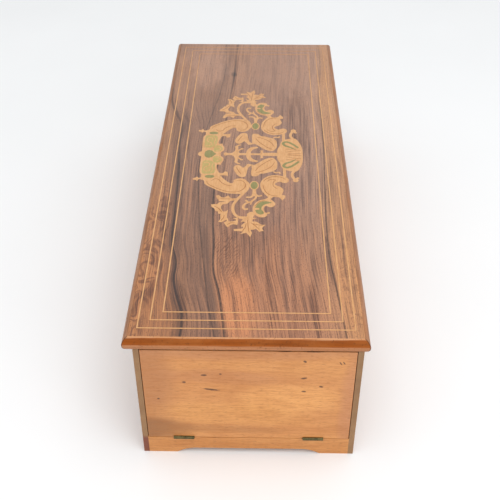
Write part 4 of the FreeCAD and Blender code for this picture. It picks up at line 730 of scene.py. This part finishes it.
GREEN_HALVES = {
    "canopy_gem": disc(39, -38.3, 4.5, 2.7),
    "gem": disc(-3.7, -53, 3.3, 6.2),
    "comma_fill": [(-20, -81), (-16, -79), (-12, -79), (-8.5, -81.5), (-5.8, -86), (-5, -92),
                   (-6.4, -97), (-9.5, -99.6), (-12.7, -98), (-12.3, -95), (-10.8, -92),
                   (-11.2, -87.5), (-13.5, -84), (-17, -82.4)],
}
GREEN_WHOLE = {
    "canopy_drop": [(46.2, MIRROR_X), (45.4, -2.4), (42, -5), (38.4, -3.2), (36.4, 0),
                    (34.4, MIRROR_X, "tip")],
}
GREEN_STROKES = {
    "shell_lobe": ([(-44.2, -6.8), (-39, -11.4), (-34.2, -14.2), (-32, -18.5), (-34.2, -21.6),
                    (-38, -20.6), (-42.5, -16.2), (-47, -10.4)], 2.9, 0.8, 2.2),
}
# The canopy's panels, in a paler wood stained olive.
OLIVE_HALVES = {
    "panel": [(46.6, -11.6), (47, -22), (46.6, -32), (41, -33.8), (35.2, -32), (34.6, -24),
              (35.2, -16.6), (37.4, -12), (42, -9.6)],
    "lobe": [(37.2, -3.4), (34, -2.2), (30, -4), (28.6, -8), (30.2, -12), (34, -14), (37, -11.4)],
}
# Thin boxwood lines laid over the stained pieces.
BOX_LINES = {
    "curl": ([(46, -14), (42.6, -13.4), (40, -16), (41, -19.4), (44, -21.4), (45.2, -25), (43.6, -29),
              (40.2, -28.6), (39.6, -25.4)], 1.0, 0.8, 0.8),
    "curl_back": ([(36.6, -15), (37.6, -20), (36.6, -26), (38.4, -31)], 0.9, 0.6, 0.6),
    "lobe_curl": ([(35.6, -4), (31.4, -5.2), (31, -9), (34, -10.4)], 0.9, 0.6, 0.6),
    "comma_tongue": ([(-3.6, -91.2), (-6, -91), (-8.8, -90.6)], 2.8, 2.8, 1.6),
}
DARK_STROKES = {
    "arm_line": [(41.4, -46), (39.8, -51), (34.8, -55.6), (28.6, -60), (21, -63.6), (13.6, -64.2),
                 (8.4, -61.6), (4.8, -56), (4.6, -51), (6.6, -46.6), (9.8, -44.6), (13, -45)],
    "arm_line_two": [(37, -45.6), (33.6, -42.4), (30, -43.6), (27.4, -48.4), (22.6, -52.6), (17, -54)],
    "scroll_line": [(-12.6, -46), (-15.4, -41.4), (-20, -38.4), (-25.4, -37.8), (-30.4, -39.6),
                    (-33.4, -42.6)],
    "scroll_line_two": [(-12, -52), (-13.2, -60), (-16.6, -66.6), (-20.6, -69.4), (-26, -70.2)],
    "scroll_line_three": [(-16, -46), (-19.6, -42.6), (-23.6, -43.4), (-21.6, -48), (-21.8, -54),
                          (-25.6, -59)],
    "wing_line": [(-4.4, -28), (-7.6, -21.4), (-12, -15.5), (-17, -10), (-21.4, -6.8)],
    "wing_line_two": [(-5, -31.2), (-10.6, -28.6), (-16, -24.5), (-20.2, -19.5), (-23.2, -12)],
    "mallet_line": [(14, -22), (11.8, -28), (9, -34)],
    "leaf_line_one": [(13, -75.8), (19, -75.6), (27, -75.4)],
    "leaf_line_two": [(24.6, -96.4), (28.4, -90.4), (32.8, -86.8)],
    "leaf_line_three": [(22.6, -100.5), (23, -105), (25.4, -109.6)],
    "leaf_line_four": [(12.6, -112.6), (16.4, -112.6), (19.4, -115.4)],
    "flower_line_one": [(1.6, -108), (1, -116), (-0.2, -127)],
    "flower_line_two": [(2.6, -113), (3.4, -119), (6.4, -126)],
    "flower_line_three": [(-1.4, -112), (-5, -116), (-9, -122)],
    "flower_line_four": [(-3.4, -113.6), (-7.6, -115), (-12, -116)],
    "shell_ray_one": [(-49.8, 0.4), (-44, 0.8), (-36, 1.2)],
    "shell_ray_two": [(-49.4, -5.4), (-42, -4.4), (-34, -2)],
    "shell_ray_three": [(-48.4, -8.4), (-41, -8), (-34, -7.4)],
    "comma_line": [(-14, -77.2), (-8.6, -80), (-5, -86)],
}
# Round ends of the scrolls, as (y, x) and half sizes.
BALLS = [(-5, -10.6, 1.8, 1.6), (-42.9, -43.6, 2.8, 3.3), (-45, -40.2, 1.5, 1.5), (24.8, 1.4, 1.9, 1.9),
         (9.2, -8, 1.5, 1.3), (-3.7, -53, 4.4, 7.4)]


def mirrored(points):
    """The mirror image of an outline's points, in reverse order."""
    return [(point[0], 2 * MIRROR_X - point[1], *point[2:]) for point in points[::-1]]


def on_lid(outline, side):
    """(y, x) outline points to (x, y) on the lid, for the half as drawn (1) or its mirror image (-1)."""
    return [(MIRROR_X + side * (point[1] - MIRROR_X), point[0]) for point in outline]


def inlay(name, outlines, top, material):
    """One mesh of plates; each stands a hair above the last, so that no two faces coincide."""
    mesh = bmesh.new()
    rise = 0.01 / len(outlines)
    for index, outline in enumerate(outlines):
        add_plate(mesh, outline, INLAY_LOW, top - rise * index)
    return mesh_piece(name, mesh, "lid", material)


def whole(points):
    """A closed outline from its half, with the points on the mirror line taken once."""
    return points + [point for point in mirrored(points) if point[1] != MIRROR_X]


def both_sides(halves, wholes, strokes):
    """Outlines on the lid, from the dictionaries above."""
    shapes = [on_lid(smooth_line(whole(points), closed=True), 1) for points in wholes.values()]
    for side in (1, -1):
        shapes += [on_lid(smooth_line(points, closed=True), side) for points in halves.values()]
        shapes += [on_lid(ribbon_outline(*stroke), side) for stroke in strokes.values()]
    return shapes


def make_cartouche():
    """The layers, from the lowest up: boxwood, stained woods, boxwood lines and engraved lines."""
    balls = {index: disc(*ball) for index, ball in enumerate(BALLS)}
    engraved = {name: (points, *ENGRAVED) for name, points in DARK_STROKES.items()}
    top = VENEER_HIGH.z
    layers = (("cartouche_boxwood", {**BOX_HALVES, **balls}, BOX_WHOLE, BOX_STROKES, 0.048, BOXWOOD),
              ("cartouche_olive", OLIVE_HALVES, {}, {}, 0.036, OLIVE_WOOD),
              ("cartouche_green", GREEN_HALVES, GREEN_WHOLE, GREEN_STROKES, 0.024, GREEN_WOOD),
              ("cartouche_lines", {}, {}, BOX_LINES, 0.012, BOXWOOD),
              ("cartouche_engraving", {}, {}, engraved, 0.0, ENGRAVED_WOOD))
    for name, halves, wholes, strokes, depth, material in layers:
        inlay(name, both_sides(halves, wholes, strokes), top - depth, material)


make_cartouche()


# ---------------------------------------------------------------- the works

COMB_PITCH = 3.05
PINS_A_TOOTH = 24
TRACKS = 6              # tunes pinned side by side under a tooth
TRACK_STEP = 0.4
PIN_REACH = 0.85        # how far the pins stand out of the cylinder
PIN_HALF = 0.22
PIN_ROOT = 0.1          # how far their feet are sunk into it
GOLDEN_TURN = math.pi * (3 - math.sqrt(5))
TOOTH_TURNS, PIN_TURNS = 31, 7      # golden turns from tooth to tooth and from pin to pin
SQUARE = ((-1, -1), (1, -1), (1, 1), (-1, 1))


def make_pins():
    """The cylinder's pins, spread evenly round it and over the tunes' tracks."""
    centre_y = (CYLINDER_LOW.y + CYLINDER_HIGH.y) / 2
    centre_z = (CYLINDER_LOW.z + CYLINDER_HIGH.z) / 2
    radius = (CYLINDER_HIGH.z - CYLINDER_LOW.z) / 2
    teeth = int((COMB_HIGH.x - COMB_LOW.x) / COMB_PITCH)
    mesh = bmesh.new()
    for tooth in range(teeth):
        for count in range(PINS_A_TOOTH):
            track = count % TRACKS - (TRACKS - 1) / 2
            x = COMB_LOW.x + COMB_PITCH * (tooth + 0.5) + TRACK_STEP * track
            angle = GOLDEN_TURN * (tooth * TOOTH_TURNS + count * PIN_TURNS) + 0.09 * (tooth % 5)
            out = Vector((0, math.cos(angle), math.sin(angle)))
            aside = Vector((0, -out.z, out.y)) * PIN_HALF
            along = Vector((PIN_HALF, 0, 0))
            foot = Vector((x, centre_y, centre_z)) + out * (radius - PIN_ROOT)
            head = foot + out * (PIN_REACH + PIN_ROOT)
            low, high = [[mesh.verts.new(end + aside * a + along * b) for a, b in SQUARE]
                         for end in (foot, head)]
            for index in range(4):
                after = (index + 1) % 4
                mesh.faces.new((low[index], low[after], high[after], high[index]))
            mesh.faces.new(low[::-1])
            mesh.faces.new(high)
    mesh_piece("cylinder_pins", mesh, "cylinder", STEEL)


THREAD_LEAD = 1.571
THREAD_HALF_LENGTH = 6.2
THREAD_SECTION = ((1.35, -0.45), (1.8, -0.12), (1.8, 0.12), (1.35, 0.45))      # radius and height
THREAD_STEPS = 24       # a turn


def make_worm_thread():
    """The thread of the endless screw, a low ridge wound round its core beside the worm wheel."""
    low, high = cad("governor_second")
    wheel_z = (low.z + high.z) / 2
    fan_low, fan_high = cad("endless")
    x, y = (fan_low.x + fan_high.x) / 2, (fan_low.y + fan_high.y) / 2
    mesh = bmesh.new()
    before = None
    for step in range(int(2 * THREAD_HALF_LENGTH / THREAD_LEAD * THREAD_STEPS)):
        turns = step / THREAD_STEPS
        angle = 2 * math.pi * turns
        z = wheel_z - THREAD_HALF_LENGTH + THREAD_LEAD * turns
        ring = [mesh.verts.new((x + radius * math.cos(angle), y + radius * math.sin(angle), z + rise))
                for radius, rise in THREAD_SECTION]
        if before:
            for index in range(4):
                after = (index + 1) % 4
                mesh.faces.new((before[index], before[after], ring[after], ring[index]))
        else:
            mesh.faces.new(ring)
        before = ring
    mesh.faces.new(before[::-1])
    mesh_piece("endless_thread", mesh, "endless", STEEL)


SLOT_HALF_WIDTH = 0.5
SLOT_HALF_DEPTH = 0.06
SLOT_MARGIN = 0.8       # from the slot's end to the rim of the head


def make_slot(node, along_x, up):
    """A screw's slot, drawn as a dark bar of painted shade across its head, which faces up, to the front
    or to the back.
    """
    low, high = cad(node)
    middle = (low + high) / 2
    reach = (high.x - low.x) / 2 - SLOT_MARGIN
    half_a, half_b = (reach, SLOT_HALF_WIDTH) if along_x else (SLOT_HALF_WIDTH, reach)
    mesh = bmesh.new()
    add_plate(mesh, [(half_a * a, half_b * b) for a, b in SQUARE], -SLOT_HALF_DEPTH, SLOT_HALF_DEPTH)
    for vertex in mesh.verts:
        a, b, c = vertex.co
        if up == "top":
            vertex.co = (middle.x + a, middle.y + b, high.z - SLOT_HALF_DEPTH + c)
        elif up == "front":
            vertex.co = (middle.x + a, low.y + SLOT_HALF_DEPTH - c, middle.z + b)
        else:
            vertex.co = (middle.x + a, high.y - SLOT_HALF_DEPTH + c, middle.z + b)
    mesh_piece(node + "_slot", mesh, "case", SLOT_SHADE)


make_pins()
make_worm_thread()
for index, place in enumerate(("left", "middle", "right")):
    make_slot("comb_screw_" + place, index == 1, "top")
for index, place in enumerate(("front_left", "front_right", "back_left", "back_right")):
    make_slot("case_screw_" + place, index % 2 == 0, place.split("_")[0])


# ---------------------------------------------------------------- room, lights and camera

FLOOR_RADIUS = 6000.0


def make_floor():
    mesh = bmesh.new()
    mesh.faces.new([mesh.verts.new((x, y, 0))
                    for x, y in disc(0, 0, FLOOR_RADIUS, FLOOR_RADIUS, steps=64)])
    data = bpy.data.meshes.new("floor")
    for vertex in mesh.verts:
        vertex.co *= MM
    mesh.to_mesh(data)
    mesh.free()
    floor = bpy.data.objects.new("floor", data)
    bpy.context.scene.collection.objects.link(floor)
    g = Graph("floor_white")
    tone = g.mix(g.span(g.noise(g.place, 0.004, 2), 0.3, 0.7), (0.87, 0.885, 0.895), (0.89, 0.905, 0.915))
    data.materials.append(g.finish(tone, 0.8))


def area_light(name, place, aim, size, power):
    """A soft rectangular light; its place, aim and size are in metres."""
    data = bpy.data.lights.new(name, "AREA")
    data.shape = "RECTANGLE"
    data.size, data.size_y = size
    data.energy = power
    light = bpy.data.objects.new(name, data)
    light.location = place
    light.rotation_euler = (Vector(aim) - Vector(place)).to_track_quat("-Z", "Y").to_euler()
    bpy.context.scene.collection.objects.link(light)


def make_room():
    make_floor()
    world = bpy.data.worlds.new("studio")
    world.use_nodes = True
    world.node_tree.nodes["Background"].inputs["Color"].default_value = (1, 1, 1, 1)
    world.node_tree.nodes["Background"].inputs["Strength"].default_value = 0.8
    bpy.context.scene.world = world
    area_light("key", (-0.6, -0.2, 1.6), (0, 0, 0.1), (1.4, 1.4), 12)
    area_light("fill", (-1.4, -0.8, 0.7), (-0.1, 0, 0.05), (1.0, 0.8), 4)


CAMERA_PLACE = (-0.7088, -0.0103, 0.5739)       # metres
CAMERA_DOWN, CAMERA_TURN = 38.29, 0.92          # degrees below the level, and off the box's length
LENS, SENSOR = 60.4, 36


def make_camera():
    """The photograph's camera: it looks along the box from the flap end."""
    data = bpy.data.cameras.new("camera")
    data.lens = LENS
    data.sensor_width = SENSOR
    data.clip_start = 0.01
    camera = bpy.data.objects.new("camera", data)
    camera.location = CAMERA_PLACE
    camera.rotation_euler = (math.radians(90 - CAMERA_DOWN), 0, math.radians(CAMERA_TURN - 90))
    bpy.context.scene.collection.objects.link(camera)
    bpy.context.scene.camera = camera


make_room()
make_camera()
bpy.context.scene.view_settings.view_transform = "Standard"
